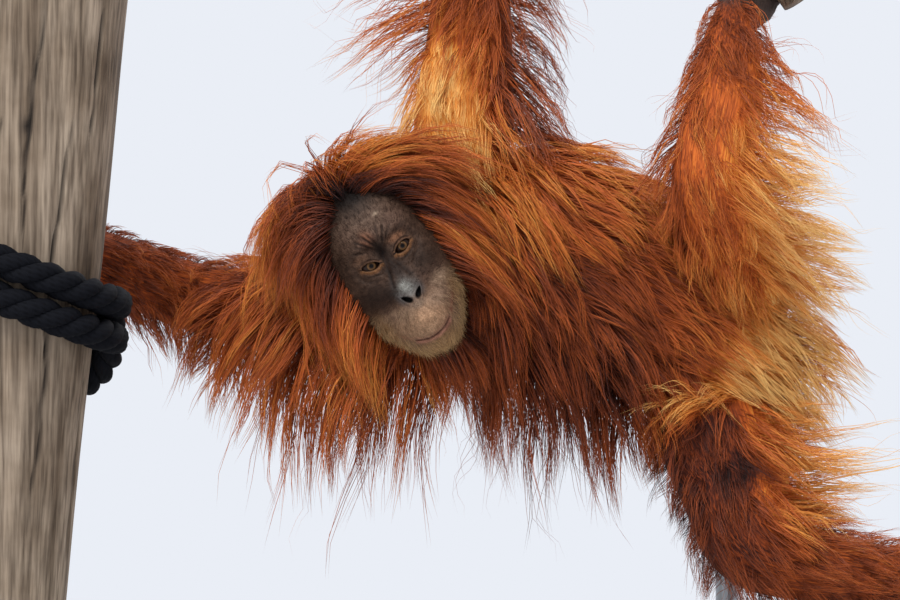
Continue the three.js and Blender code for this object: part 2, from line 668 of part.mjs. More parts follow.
// A lock: a flat leaf of hair, its width along the row, widest a third of the way out and
// thin at its tip
const lockShape = new THREE.ConeGeometry(1, 1, 4, 3);
function lockForm(r, share, varied, bend, scale, extra) {
  const curve = lockCurve(r, share, bend, along(r.long, share) * varied.long * scale + extra);
  const rowLine = r.on.place(...r.to).skin.sub(r.on.place(...r.from).skin);
  return solid(lockShape, (v) => {
    const s = v.y + 0.5;
    const ring = Math.hypot(v.x, v.z) || 1;
    const leaf = s < 0.34 ? mix(0.45, 1, s / 0.34) : (1 - (s - 0.34) / 0.66) ** 0.75;
    const half = (r.wide * varied.wide * leaf) / 2 + extra;
    const deep = (r.thick * mix(1, 0.5, s)) / 2 + extra;
    const tangent = curve.getTangent(s);
    const face = rowLine.clone().cross(tangent).normalize().applyAxisAngle(tangent, varied.twist);
    const across = tangent.clone().cross(face);
    const [x, z] = [(v.x / ring) * half, (v.z / ring) * deep];
    v.copy(curve.getPoint(s)).addScaledVector(across, x).addScaledVector(face, z);
  });
}

// Whether a solid crosses any node but its own
const boxesMeet = (a, b) => [0, 1, 2].every((i) => a.min[i] < b.max[i] && b.min[i] < a.max[i]);
const boxed = (part) => ({ part, box: part.boundingBox() });
const placed = new Map([...nodes].map(([name, core]) => [name, [boxed(core)]]));
function crosses(part, own) {
  const box = part.boundingBox();
  const others = [...placed].filter(([name]) => name !== own).flatMap(([, solids]) => solids);
  return others.some((o) => boxesMeet(box, o.box) && part.intersect(o.part).volume() > 0.001);
}

// Each lock takes the first of the tries, ever more bent out and then shorter, that keeps
// it clear of the other nodes
const tries = [[0, 1], [0.3, 1], [0.6, 1], [0.4, 0.8], [1, 0.8], [0.7, 0.6]];
for (const r of coat) {
  for (let k = 0; k < r.count; k++) {
    const share = clamp01((k + 0.5 + draw(-0.18, 0.18)) / r.count);
    const varied = { long: draw(0.88, 1.12), wide: draw(0.88, 1.14), twist: draw(-0.25, 0.25) };
    const make = (bend, scale, extra) => lockForm(r, share, varied, bend, scale, extra);
    const found = tries.find(([bend, scale]) => !crosses(make(bend, scale, gap), r.node));
    if (found) placed.get(r.node).push(boxed(make(...found, 0)));
  }
}
for (const [name, solids] of placed) put(name, join(solids.map((s) => s.part)));

const colours = {
  coat: 0x9a4a1e,
  skin: 0x4a3f3a,
  eye: 0x3b2414,
  wood: 0x8c7d6c,
  rope: 0x1c1c20,
  board: 0x9a9a96,
  steel: 0x3a3c40,
};
const slotOf = (name) => {
  if (name.startsWith("eye")) return "eye";
  if (name.startsWith("perch")) return "wood";
  if (name.startsWith("lashing")) return "rope";
  if (name === "stand_base") return "board";
  if (name.startsWith("stand")) return "steel";
  if (name.startsWith("ear") || name.startsWith("hand") || name.startsWith("foot")) return "skin";
  return "coat";
};

const group = new THREE.Group();
for (const [name, part] of nodes) {
  const made = part.getMesh();
  const geometry = new THREE.BufferGeometry();
  geometry.setAttribute("position", new THREE.BufferAttribute(new Float32Array(made.vertProperties), 3));
  geometry.setIndex(new THREE.BufferAttribute(new Uint32Array(made.triVerts), 1));
  const material = new THREE.MeshStandardMaterial({ color: colours[slotOf(name)], roughness: 0.7 });
  const mesh = new THREE.Mesh(geometry, material);
  mesh.name = name;
  group.add(mesh);
}

export default group;
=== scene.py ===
import math

import bpy
import numpy as np
from mathutils import Matrix, Vector


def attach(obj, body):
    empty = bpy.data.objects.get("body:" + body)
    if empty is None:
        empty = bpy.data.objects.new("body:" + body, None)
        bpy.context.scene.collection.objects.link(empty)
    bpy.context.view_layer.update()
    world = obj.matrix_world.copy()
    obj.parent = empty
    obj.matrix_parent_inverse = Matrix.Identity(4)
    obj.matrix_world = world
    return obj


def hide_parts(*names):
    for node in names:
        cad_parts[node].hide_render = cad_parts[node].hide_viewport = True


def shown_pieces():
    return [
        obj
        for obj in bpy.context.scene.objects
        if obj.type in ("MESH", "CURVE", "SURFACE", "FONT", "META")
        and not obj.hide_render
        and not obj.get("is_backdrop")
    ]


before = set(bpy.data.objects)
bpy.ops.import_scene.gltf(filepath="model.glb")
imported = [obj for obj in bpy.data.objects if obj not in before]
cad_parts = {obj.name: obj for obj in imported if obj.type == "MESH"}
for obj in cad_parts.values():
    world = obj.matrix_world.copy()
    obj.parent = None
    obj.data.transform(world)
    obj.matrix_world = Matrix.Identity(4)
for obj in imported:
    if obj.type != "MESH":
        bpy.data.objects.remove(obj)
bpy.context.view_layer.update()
rng = np.random.default_rng(41)
mm = 0.001

# Joint centres of the skeleton in millimetres, in the frame's axes
joints = {
    "neckTop": (-40, 78, 438),
    "neckBase": (28, 112, 452),
    "girdle": (-12, 104, 462),
    "chest": (48, 116, 452),
    "ribs": (108, 120, 421),
    "belly": (168, 125, 392),
    "loin": (232, 132, 358),
    "pelvis": (288, 140, 331),
    "rump": (352, 150, 300),
    "leftShoulder": (16, 105, 536),
    "leftElbow": (25, 125, 787),
    "leftWrist": (92, 168, 1010),
    "rightShoulder": (-51, 85, 365),
    "rightElbow": (-262, 190, 387),
    "rightWrist": (-450, 122, 460),
    "leftHip": (309, 148, 384),
    "leftKnee": (265, 22, 508),
    "leftAnkle": (289, 112, 698),
    "rightHip": (266, 128, 280),
    "rightKnee": (304, 30, 140),
    "rightAnkle": (506, 80, 101),
}
joints = {name: np.array(place, float) for name, place in joints.items()}


def unit(v):
    # A vector, or an array of them, over its own length
    v = np.asarray(v, float)
    return v / np.maximum(np.linalg.norm(v, axis=-1, keepdims=True), 1e-9)


def mix(a, b, t):
    # a at 0, b at 1, and a straight line between
    return a + (b - a) * t


def bump(x):
    # The bell e^(-x²)
    return np.exp(-x * x)


def ease(a, b, x):
    # 0 below a, 1 above b, and 3t² - 2t³ between
    t = np.clip((x - a) / (b - a), 0, 1)
    return t * t * (3 - 2 * t)


def linear(code):
    # An sRGB hex colour as linear red, green, blue and alpha
    parts = [int(code[k : k + 2], 16) / 255 for k in (1, 3, 5)]
    return [c / 12.92 if c <= 0.04045 else ((c + 0.055) / 1.055) ** 2.4 for c in parts] + [1.0]


def setMesh(name, verts, faces, slot, nodes=(), material=None, **attributes):
    # A mesh of triangles, verts in millimetres, turned outwards by the sign of its volume
    mesh = bpy.data.meshes.new(name)
    verts = np.ascontiguousarray(verts, np.float32)
    faces = np.ascontiguousarray(faces, np.int32)
    a, b, c = (verts[faces[:, k]].astype(float) for k in range(3))
    if np.einsum("ij,ij->", a, np.cross(b, c)) < 0:
        faces = np.ascontiguousarray(faces[:, ::-1])
    mesh.vertices.add(len(verts))
    mesh.vertices.foreach_set("co", (verts * mm).ravel())
    mesh.loops.add(faces.size)
    mesh.loops.foreach_set("vertex_index", faces.ravel())
    mesh.polygons.add(len(faces))
    mesh.polygons.foreach_set("loop_start", np.arange(0, faces.size, 3, dtype=np.int32))
    mesh.polygons.foreach_set("use_smooth", np.ones(len(faces), bool))
    mesh.update(calc_edges=True)
    for key, values in attributes.items():
        addAttribute(mesh, key, values)
    made = bpy.data.objects.new(name, mesh)
    bpy.context.scene.collection.objects.link(made)
    if material:
        mesh.materials.append(material)
    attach(made, "root")
    if nodes:
        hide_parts(*nodes)
    return made


def addAttribute(mesh, key, values):
    # One number or one colour for each vertex
    values = np.asarray(values, np.float32)
    if values.ndim == 1:
        mesh.attributes.new(key, "FLOAT", "POINT").data.foreach_set("value", values)
    else:
        rgba = np.hstack([values[:, :3], np.ones((len(values), 1), np.float32)])
        mesh.attributes.new(key, "FLOAT_COLOR", "POINT").data.foreach_set("color", rgba.ravel())


def gridFaces(rows, columns):
    # Triangles of rings of points, closed round the rings, with a pole point before the first
    # ring and one after the last
    i = 1 + np.arange(rows - 1)[:, None] * columns
    k = np.arange(columns)[None, :]
    after = (k + 1) % columns
    near = np.stack([i + k, i + after, i + columns + after], -1).reshape(-1, 3)
    far = np.stack([i + k, i + columns + after, i + columns + k], -1).reshape(-1, 3)
    k, after = k[0], after[0]
    last = 1 + (rows - 1) * columns
    first = np.stack([np.zeros_like(k), 1 + after, 1 + k], -1)
    end = np.stack([last + k, last + after, np.full_like(k, last + columns)], -1)
    return np.vstack([near, far, first, end])


def capped(rings):
    # Vertices and triangles of a closed tube or ball from rings of points (rows, columns, 3)
    poles = [rings[k].mean(0, keepdims=True) for k in (0, -1)]
    rows, columns = rings.shape[:2]
    return np.vstack([poles[0], rings.reshape(-1, 3), poles[1]]), gridFaces(rows, columns)


def joinMeshes(parts):
    # Vertices and faces of several parts as one
    sizes = np.cumsum([0] + [len(v) for v, f in parts])
    faces = [f + size for (v, f), size in zip(parts, sizes)]
    return np.vstack([v for v, f in parts]), np.vstack(faces)


def smoothPath(points, samples=260):
    # Centripetal Catmull-Rom: cubic spans through the points, each with slopes from its neighbours
    # weighed by the root of their distance, then sampled at even lengths
    p = np.array(points, float)
    p = np.vstack([2 * p[0] - p[1], p, 2 * p[-1] - p[-2]])
    s = np.linspace(0, 1, 60)[:, None]
    spans = []
    for a, b, c, d in zip(p, p[1:], p[2:], p[3:]):
        da, db, dc = (np.linalg.norm(y - x) ** 0.5 for x, y in ((a, b), (b, c), (c, d)))
        left = ((b - a) / da - (c - a) / (da + db) + (c - b) / db) * db
        right = ((c - b) / db - (d - b) / (db + dc) + (d - c) / dc) * db
        square = 3 * (c - b) - 2 * left - right
        cube = 2 * (b - c) + left + right
        spans.append(b + left * s + square * s**2 + cube * s**3)
    dense = np.vstack(spans)
    run = np.concatenate([[0], np.cumsum(np.linalg.norm(np.diff(dense, axis=0), axis=1))])
    even = np.linspace(0, run[-1], samples)
    return np.stack([np.interp(even, run, dense[:, k]) for k in range(3)], 1), run[-1]


def makeLimb(path, radii, flat=1.0, blunt=6, depth=(0, 1, 0)):
    # A curve through the path, with a frame, a radius and the radius's slope at each sample. The
    # radii are spread evenly along it and rounded off at both ends by (1 - |2t - 1|^blunt)^½
    centre, length = smoothPath(path)
    tangent = unit(np.gradient(centre, axis=0))
    depth = np.array(depth, float)
    back = unit(depth - tangent * (tangent @ depth)[:, None])
    across = np.cross(back, tangent)
    t = np.linspace(0, 1, len(centre))
    end = np.sqrt(np.maximum(0, 1 - np.abs(2 * t - 1) ** blunt))
    radius = np.interp(t, np.linspace(0, 1, len(radii)), radii) * end
    slope = np.gradient(radius) * (len(t) - 1) / length
    frames = np.hstack([centre, across, back, tangent, radius[:, None], slope[:, None]])
    return {"frames": frames, "flat": flat, "length": length}


def limbFrame(limb, t):
    # Centre, across, back, tangent, radius and its slope at shares t of the length
    frames = limb["frames"]
    x = np.clip(t, 0, 1) * (len(frames) - 1)
    i = np.minimum(x.astype(int), len(frames) - 2)
    f = frames[i] + (frames[i + 1] - frames[i]) * (x - i)[:, None]
    return f[:, :3], f[:, 3:6], f[:, 6:9], f[:, 9:12], f[:, 12:13], f[:, 13:]


def limbSkin(limb, t, angle, extra=0.0):
    # The ellipse round the curve: centre + across·cos·r + back·sin·r·flat, and its normal
    centre, across, back, tangent, r, slope = limbFrame(limb, t)
    c = np.cos(np.radians(angle))[:, None]
    s = np.sin(np.radians(angle))[:, None]
    r = np.maximum(r + extra, 0.05)
    place = centre + across * c * r + back * s * r * limb["flat"]
    normal = unit(unit(across * c + back * s / limb["flat"]) - tangent * np.clip(slope, -4, 4))
    return place, normal


def limbTube(limb, rows, columns, extra=0.0):
    # A closed tube, its rings partly evenly spaced and partly drawn together at the ends
    t = (1 - np.cos(np.linspace(0.02, math.pi - 0.02, rows))) / 2
    t = mix(t, np.linspace(0, 1, rows), 0.6)
    angle = -np.arange(columns) * 360 / columns
    tt, aa = np.repeat(t, columns), np.tile(angle, rows)
    rings = limbSkin(limb, tt, aa, extra)[0].reshape(rows, columns, 3)
    return capped(rings)


def between(a, b, t, shift=(0, 0, 0)):
    # A place at share t of the line between two joints, with a shift in millimetres
    return mix(joints[a], joints[b], t) + np.array(shift, float)


def limbPath(first, root, rootShare, middle, middleShare, last, shift=(0, 0, 0)):
    # From inside the trunk through three joints, with a point part way down each bone
    return [
        between(first, root, rootShare),
        joints[first],
        between(first, middle, middleShare),
        joints[middle],
        between(middle, last, 0.5, shift),
        joints[last],
    ]


# The path of each arm and leg, and its radii in millimetres
limbBones = {
    "leftArm": (
        ("leftShoulder", "chest", 0.55, "leftElbow", 0.5, "leftWrist"),
        (52, 58, 47, 41, 38, 42, 35, 26),
    ),
    "rightArm": (
        ("rightShoulder", "chest", 0.5, "rightElbow", 0.5, "rightWrist", (0, 6, 0)),
        (52, 56, 46, 42, 38, 36, 33, 26),
    ),
    "leftLeg": (
        ("leftHip", "pelvis", 0.4, "leftKnee", 0.55, "leftAnkle", (4, 6, 0)),
        (60, 64, 56, 48, 42, 41, 34, 26),
    ),
    "rightLeg": (
        ("rightHip", "pelvis", 0.4, "rightKnee", 0.55, "rightAnkle", (0, 4, -9)),
        (62, 66, 60, 50, 42, 38, 32, 26),
    ),
}
spine = [joints[name] for name in ("girdle", "chest", "ribs", "belly", "loin", "pelvis", "rump")]
limbs = {
    "trunk": makeLimb(spine, (82, 104, 106, 99, 93, 90, 60), flat=0.84, blunt=5),
    "neck": makeLimb([joints[name] for name in ("neckTop", "neckBase", "chest")], (62, 66, 60)),
}
for name, (bones, radii) in limbBones.items():
    limbs[name] = makeLimb(limbPath(*bones), radii)


def node(tree, kind, inputs=None, stops=None, **settings):
    # Adds one node: its settings, what its inputs hold or link from, and the stops of a ramp
    made = tree.nodes.new(kind)
    for key, value in settings.items():
        setattr(made, key, value)
    for key, value in (inputs or {}).items():
        if isinstance(value, bpy.types.NodeSocket):
            tree.links.new(value, made.inputs[key])
        else:
            made.inputs[key].default_value = value
    for k, (place, colour) in enumerate(stops or []):
        elements = made.color_ramp.elements
        element = elements[k] if k < 2 else elements.new(place)
        element.position = place
        element.color = linear(colour)
    return made.outputs[0] if kind != "ShaderNodeMix" else made.outputs[2]


def newMaterial(name, **sockets):
    # A material, its tree and its shader, with values for the shader's inputs by name
    made = bpy.data.materials.new(name)
    made.use_nodes = True
    shader = made.node_tree.nodes["Principled BSDF"]
    for key, value in sockets.items():
        shader.inputs[key.replace("_", " ")].default_value = value
    return made, made.node_tree, shader


def attribute(tree, name):
    # A number kept on the piece's vertices
    made = tree.nodes.new("ShaderNodeAttribute")
    made.attribute_name = name
    return made


# How warm a hair is, from the dark of the deep coat, which is painted shade, to the gold of the
# sunlit fringe, which is painted light; between them lies the coat's own red-brown
coatColours = [
    (0.0, "#180806"),
    (0.18, "#471d11"),
    (0.38, "#863c1a"),
    (0.58, "#bb5c24"),
    (0.78, "#dc8c3a"),
    (1.0, "#f3c274"),
]


def hairMaterial():
    # Long coarse primate hair: smooth scales give a soft gloss along each strand
    made, tree, shader = newMaterial("Ape hair", Roughness=0.5, Specular_IOR_Level=0.28)
    warm = attribute(tree, "warm").outputs["Fac"]
    colour = node(tree, "ShaderNodeValToRGB", {"Fac": warm}, stops=coatColours)
    tree.links.new(colour, shader.inputs["Base Color"])
    return made


def leatherMaterial():
    # Bare leathery skin on the hands and feet, dark and dull, with fine creases 4 mm apart.
    # Under the coat it is short flat fur: hairs about 1.5 mm wide, coarser than real ones, drawn
    # out along the limb
    made, tree, shader = newMaterial("Leathery skin", Roughness=0.65, Specular_IOR_Level=0.12)
    warm = attribute(tree, "warm").outputs["Fac"]
    bare = attribute(tree, "bare").outputs["Fac"]
    place = tree.nodes.new("ShaderNodeTexCoord").outputs["Object"]
    crease = node(
        tree,
        "ShaderNodeTexVoronoi",
        {"Vector": place, "Scale": 250.0},
        feature="DISTANCE_TO_EDGE",
    )
    mottle = node(tree, "ShaderNodeTexNoise", {"Vector": place, "Scale": 60.0})
    lie = attribute(tree, "lie").outputs["Vector"]
    fur = node(tree, "ShaderNodeTexNoise", {"Vector": lie, "Scale": 620.0, "Detail": 3.0})
    tone = node(tree, "ShaderNodeMath", {0: fur, 1: 0.9, 2: warm}, operation="MULTIPLY_ADD")
    under = node(tree, "ShaderNodeValToRGB", {"Fac": tone}, stops=coatColours)
    tones = [(0.3, "#2b221f"), (0.7, "#4c3d36")]
    skin = node(tree, "ShaderNodeValToRGB", {"Fac": mottle}, stops=tones)
    colour = node(tree, "ShaderNodeMix", {0: bare, 6: under, 7: skin}, data_type="RGBA")
    depth = node(tree, "ShaderNodeBump", {"Height": crease, "Strength": 0.35, "Distance": 0.0008})
    raised = {"Height": fur, "Strength": 0.7, "Distance": 0.003, "Normal": depth}
    depth = node(tree, "ShaderNodeBump", raised)
    tree.links.new(colour, shader.inputs["Base Color"])
    tree.links.new(depth, shader.inputs["Normal"])
    return made


hair = hairMaterial()
leather = leatherMaterial()
print("materials ready")


# The head: its centre in the frame, its turns in degrees, half sizes of the egg, how far the egg
# hangs below the centre and how far under the skin its hair starts, in millimetres
headShape = {
    "centre": (-65.5, 50, 431),
    "roll": 33.5,
    "yaw": 0.5,
    "nod": 3,
    "half": (64, 80, 104),
    "drop": 12,
    "inset": 1.5,
    "rings": 225,
    "sides": 225,
}
# What is added to the egg in y: how much, reach in x, middle in z and reach in z
headBells = {
    "orbits": (15, 46, 0, 27),
    "muzzle": (-47, 37, -80, 35),
    "brow": (-6, 40, 21, 10),
    "nose": (-7, 12, -43, 13),
}
headTurn = np.array(
    Matrix.Rotation(math.radians(-headShape["roll"]), 3, "Y")
    @ Matrix.Rotation(math.radians(headShape["yaw"]), 3, "Z")
    @ Matrix.Rotation(math.radians(headShape["nod"]), 3, "X")
)
headCentre = np.array(headShape["centre"], float)


def fromHead(points):
    # Head millimetres to the frame's
    return np.asarray(points, float) @ headTurn.T + headCentre


def toHead(points):
    # The frame's millimetres to the head's
    return (points - headCentre) @ headTurn


def headSkin(d, inset=0.0):
    # The egg for directions d, narrower towards the chin, with its bells and the cheeks added
    dx, dy, dz = d.T
    hx, hy, hz = headShape["half"]
    z = -headShape["drop"] + hz * dz
    low = ease(-10, -115, z)
    face = ease(0, 0.55, -dy)
    x = hx * dx * (1 - 0.24 * low)
    y = hy * dy * np.where(dy > 0, 1 - 0.45 * low, 1)
    for amount, wide, middle, tall in headBells.values():
        y = y + face * amount * bump(x / wide) * bump((z - middle) / tall)
    x = x + np.sign(dx) * 5 * bump((np.abs(x) - 44) / 20) * bump((z + 38) / 26) * face
    return np.stack([x, y, z], 1) - d * inset


def headDirection(polar, azimuth):
    # polar degrees from the crown, azimuth degrees from the nose towards the animal's left
    p, a = np.radians(polar), np.radians(azimuth)
    return np.stack([np.sin(p) * np.sin(a), -np.sin(p) * np.cos(a), np.cos(p)], 1)


def headPlace(polar, azimuth):
    # Where hair starts on the head, and the egg's normal there
    d = headDirection(polar, azimuth)
    normal = unit(d / np.array(headShape["half"], float))
    return fromHead(headSkin(d, headShape["inset"])), normal @ headTurn.T


# The face, in head millimetres: x towards the animal's left, z towards the crown. The eye's
# `wide` is how far each one is open, and `gaze` where each looks
eye = {
    "apart": 18.8,
    "depth": -52.0,
    "radius": 11.5,
    "lid": 13.0,
    "iris": 4.9,
    "pupil": 1.7,
    "bulge": 0.35,
    "halfWidth": 9.3,
    "above": 3.9,
    "below": 4.3,
    "tilt": 0.2,
    "wide": {-1: 0.92, 1: 1.08},
    "gaze": {-1: (0.06, -1, 0.03), 1: (0.03, -1, 0.02)},
    "rings": 56,
    "sides": 56,
}
mouth = {"halfWidth": 20.5, "z": -90.5, "rise": 6.0, "centreX": -1.5, "lift": 0.8}
nose = {"z": -45.8, "apart": 6.8, "lean": 0.78, "long": 5.6, "wide": 2.5}


def mouthLine(x):
    # The height of the line between the lips: a shallow bow whose left corner is higher
    k = (x - mouth["centreX"]) / mouth["halfWidth"]
    return mouth["z"] + mouth["rise"] * k * k + mouth["lift"] * np.clip(k, -1.3, 1.3)


def wrinkle(x, z, start, end, width):
    # A bell round the straight line from start to end, fading at both ends
    ax, az = start
    bx, bz = end
    length = math.hypot(bx - ax, bz - az)
    ux, uz = (bx - ax) / length, (bz - az) / length
    s = (x - ax) * ux + (z - az) * uz
    off = (x - ax) * uz - (z - az) * ux
    within = ease(-2, length * 0.25, s) * (1 - ease(length * 0.75, length + 2, s))
    return bump(off / width) * within


# Creases of the face: start, end, width and depth in millimetres
creases = [
    ((-21, 31), (-6, 12), 1.2, 1.5),
    ((-12, 33), (-3, 13), 1.1, 1.5),
    ((-6, 31), (-1, 13), 1.0, 1.1),
    ((14, 31), (3, 12), 1.2, 1.2),
    ((-25, 27), (-9, 13), 1.4, 0.9),
    ((-17, 36), (-8, 22), 1.3, 0.8),
    ((8, 35), (2, 18), 1.2, 0.9),
    ((21, 27), (6, 14), 1.4, 0.8),
    ((33, 20), (16, 15), 1.3, 0.6),
    ((-31, 21), (-14, 14), 1.2, 0.8),
    ((-3, 15), (-1, 0), 2.4, 1.2),
    ((-32, -7), (-12, -13), 1.2, 0.9),
    ((-31, -12), (-14, -18), 1.2, 0.6),
    ((11, -12), (30, -6), 1.2, 0.9),
    ((13, -18), (31, -12), 1.2, 0.6),
    ((-5, -8), (-12, -34), 2.2, 1.5),
    ((5, -8), (12, -32), 2.2, 1.2),
    ((20, -84), (37, -64), 1.5, 0.8),
    ((-23, -85), (-32, -74), 1.4, 0.6),
    ((-13, -55), (-24, -72), 1.6, 0.6),
    ((13, -55), (26, -70), 1.6, 0.6),
    ((-22, 46), (24, 43), 1.5, 0.5),
    ((-18, 53), (16, 51), 1.5, 0.5),
]


def nostril(x, z, side):
    # Below 1 inside a teardrop that leans outwards at its top
    dx = x - side * nose["apart"]
    dz = z - nose["z"]
    lean = side * nose["lean"]
    along = dx * math.sin(lean) + dz * math.cos(lean)
    across = dx * math.cos(lean) - dz * math.sin(lean)
    along = along / nose["long"]
    return np.hypot(along, across / (nose["wide"] * (1 - 0.4 * along)))


def faceRelief(x, z):
    # How far the skin is raised out of the face, from its creases, lips, nose and fine pleats
    rise = np.zeros_like(x)
    for start, end, width, depth in creases:
        rise -= depth * wrinkle(x, z, start, end, width)
    line = z - mouthLine(x)
    along = ease(1.15, 0.85, np.abs(x - mouth["centreX"]) / mouth["halfWidth"])
    rise += along * (2.2 * bump((line - 4.5) / 3.8) + 2.8 * bump((line + 4.6) / 3.6))
    rise -= along * 3.2 * bump(line)
    rise -= bump(x / 2.2) * bump((z + 66) / 10)
    rise += 0.22 * np.cos(x * 2.3 + 0.5 * np.sin(z / 5)) * bump((z + 70) / 13) * bump(x / 26)
    rise += 3.6 * bump(x / 9.5) * bump((z + 36) / 8) - bump(x / 1.6) * bump((z + 38) / 9)
    for side in (-1, 1):
        hole = nostril(x, z, side)
        outer = ease(-2, 6, side * x - nose["apart"] + 2)
        rise += 2.6 * bump((hole - 1.55) / 0.45) * (0.35 + 0.65 * outer)
        rise -= 6.5 * ease(1.12, 0.7, hole)
    return rise


def eyeOpening(x, z, side):
    # How far a point is over the upper and under the lower edge of the opening, and its share of
    # the half width. Each edge is a round arch between the corners
    dx = x - side * eye["apart"]
    dz = z - side * dx * eye["tilt"]
    u = dx / eye["halfWidth"]
    arch = np.clip(1 - u * u, 0, 1) * eye["wide"][side]
    return dz - eye["above"] * arch**0.62, -eye["below"] * arch**0.72 - dz, u


def faceDetail(points):
    # Lids lie on a ball round each eye, with the opening cut through them, and the rest of the
    # face takes its relief along -Y
    x, y, z = points.T.copy()
    front = ease(-18, -34, y)
    y = y - faceRelief(x, z) * front
    for side in (-1, 1):
        off = np.hypot(x - side * eye["apart"], z)
        lid = eye["depth"] - np.sqrt(np.maximum(eye["lid"] ** 2 - off**2, 4))
        y = mix(y, np.minimum(y, lid), ease(eye["lid"] + 2, eye["lid"] - 3, off) * front)
        y = y + bump((off - 15.5) / 3.2) * 2.0 * front
        above, below, u = eyeOpening(x, z, side)
        near = ease(1.35, 0.9, np.abs(u)) * front
        y = y + bump((above - 2.6) / 0.8) * near + 0.7 * bump((below - 4.4) / 0.8) * near
        y = y - 0.9 * bump((above - 0.9) / 0.9) * near - 0.8 * bump((below - 1.2) / 1.2) * near
        inside = np.where(np.abs(u) < 1, np.minimum(-above, -below), -5)
        y = y + ease(-0.4, 0.5, inside) * 7.5 * front
    return np.stack([x, y, z], 1)


# Paint of the face: colour, middle x and z, reach in x and z, and strength. Some blots are
# painted shade and shadow, and one is a painted highlight, as marked
facePaint = [
    ("#5a483e", 0, 20, 70, 60, 1.0),
    ("#78655a", 2, 50, 30, 17, 0.75),
    ("#3a2a20", -42, 8, 15, 40, 0.8),
    ("#45342a", 45, 8, 14, 40, 0.75),
    ("#8d5c44", -8, 25, 7, 9, 0.55),
    ("#6b564d", 26, 28, 10, 9, 0.5),
    # Painted shade: near-black between the eyes, under the brow
    ("#17100d", -2, 8, 7, 13, 0.95),
    ("#80614e", -24, 11, 9, 4.5, 0.55),
    ("#93694f", 18, 11.5, 9, 4.5, 0.75),
    # Painted shade round the eyes: below each eye and on the bridge of the nose
    ("#22160f", -32, -29, 20, 17, 0.92),
    ("#2c1f17", 30, -22, 18, 14, 0.85),
    ("#231814", 0, -13, 10, 17, 0.9),
    # Painted shadow on the animal's right side of the nose
    ("#1c120e", -15, -35, 9, 11, 0.88),
    ("#94806f", 35, -47, 13, 8, 0.85),
    ("#857060", -37, -53, 13, 6, 0.6),
    ("#ae8e74", 0, -76, 28, 22, 1.0),
    ("#ad8a5f", 0, -106, 36, 12, 0.85),
    ("#a88659", -42, -76, 9, 24, 0.8),
    ("#b08c62", 43, -74, 9, 22, 0.8),
    ("#8b7767", -18, -58, 12, 9, 0.7),
    ("#a4876f", -24, -74, 15, 14, 0.75),
    ("#a28b7a", 19, -60, 13, 9, 0.7),
    ("#6f7375", 0, -37, 11, 11, 0.95),
    # Painted highlight on the top of the nose pad
    ("#8f9596", -2, -33, 5, 5, 0.75),
    ("#4d4e52", 10, -42, 5, 8, 0.7),
    ("#505155", -10, -43, 5, 8, 0.7),
    ("#8a7d72", 0, -55, 8, 4, 0.6),
    ("#bbaa99", 14, 42, 3, 2, 0.85),
    # Painted shadow of the forelock across the top of the forehead
    ("#0d0705", 4, 71, 50, 22, 0.97),
]


def faceColour(points):
    # Blots mixed one over another in linear light, then rings round the eyes, lips and nostrils
    x, y, z = points.T
    colour = np.tile(np.array(linear("#4a352c")[:3]), (len(x), 1))

    def blot(code, amount):
        # This colour laid over what is there, by an amount from 0 to 1
        nonlocal colour
        colour = mix(colour, np.array(linear(code)[:3]), np.clip(amount, 0, 1)[:, None])

    for code, cx, cz, rx, rz, strength in facePaint:
        blot(code, strength * np.exp(-(((x - cx) / rx) ** 2 + ((z - cz) / rz) ** 2) ** 1.3))
    for side in (-1, 1):
        above, below, u = eyeOpening(x, z, side)
        near = ease(1.5, 1.1, np.abs(u))
        blot("#80593a", 0.75 * near * bump((below - 2.6) / 2.5))
        blot("#9a7048", 0.35 * near * bump(below - 1.6))
        blot("#6e4d36", 0.55 * near * bump((above - 1.6) / 1.6))
        blot("#2a1f1b", 0.75 * near * bump((above - 3.2) / 0.8))
        blot("#2b201b", 0.7 * near * bump((below - 5.6) / 1.2))
        blot("#1a1210", 0.9 * near * (bump(above / 0.75) + 0.8 * bump(below / 0.5)))
    line = z - mouthLine(x)
    along = ease(1.15, 0.9, np.abs(x - mouth["centreX"]) / mouth["halfWidth"])
    blot("#a8776a", 0.75 * along * bump((line + 2.4) / 2.0))
    blot("#93695a", 0.45 * along * bump((line - 2.2) / 1.6))
    blot("#4d2520", 0.95 * along * bump(line))
    # The creases above the mouth are darkened as painted shade; those at the mouth's corners are
    # pinkish skin
    for start, end, width, depth in creases:
        deep = "#9a6253" if start[1] < -80 else "#1a110d"
        blot(deep, 0.6 * depth * wrinkle(x, z, start, end, width * 1.1))
    for side in (-1, 1):
        blot("#0c0a0a", ease(1.2, 0.85, nostril(x, z, side)))
    hairy = ease(-26, -8, y)
    return mix(colour, np.array(linear("#3a140b")[:3]), hairy[:, None])


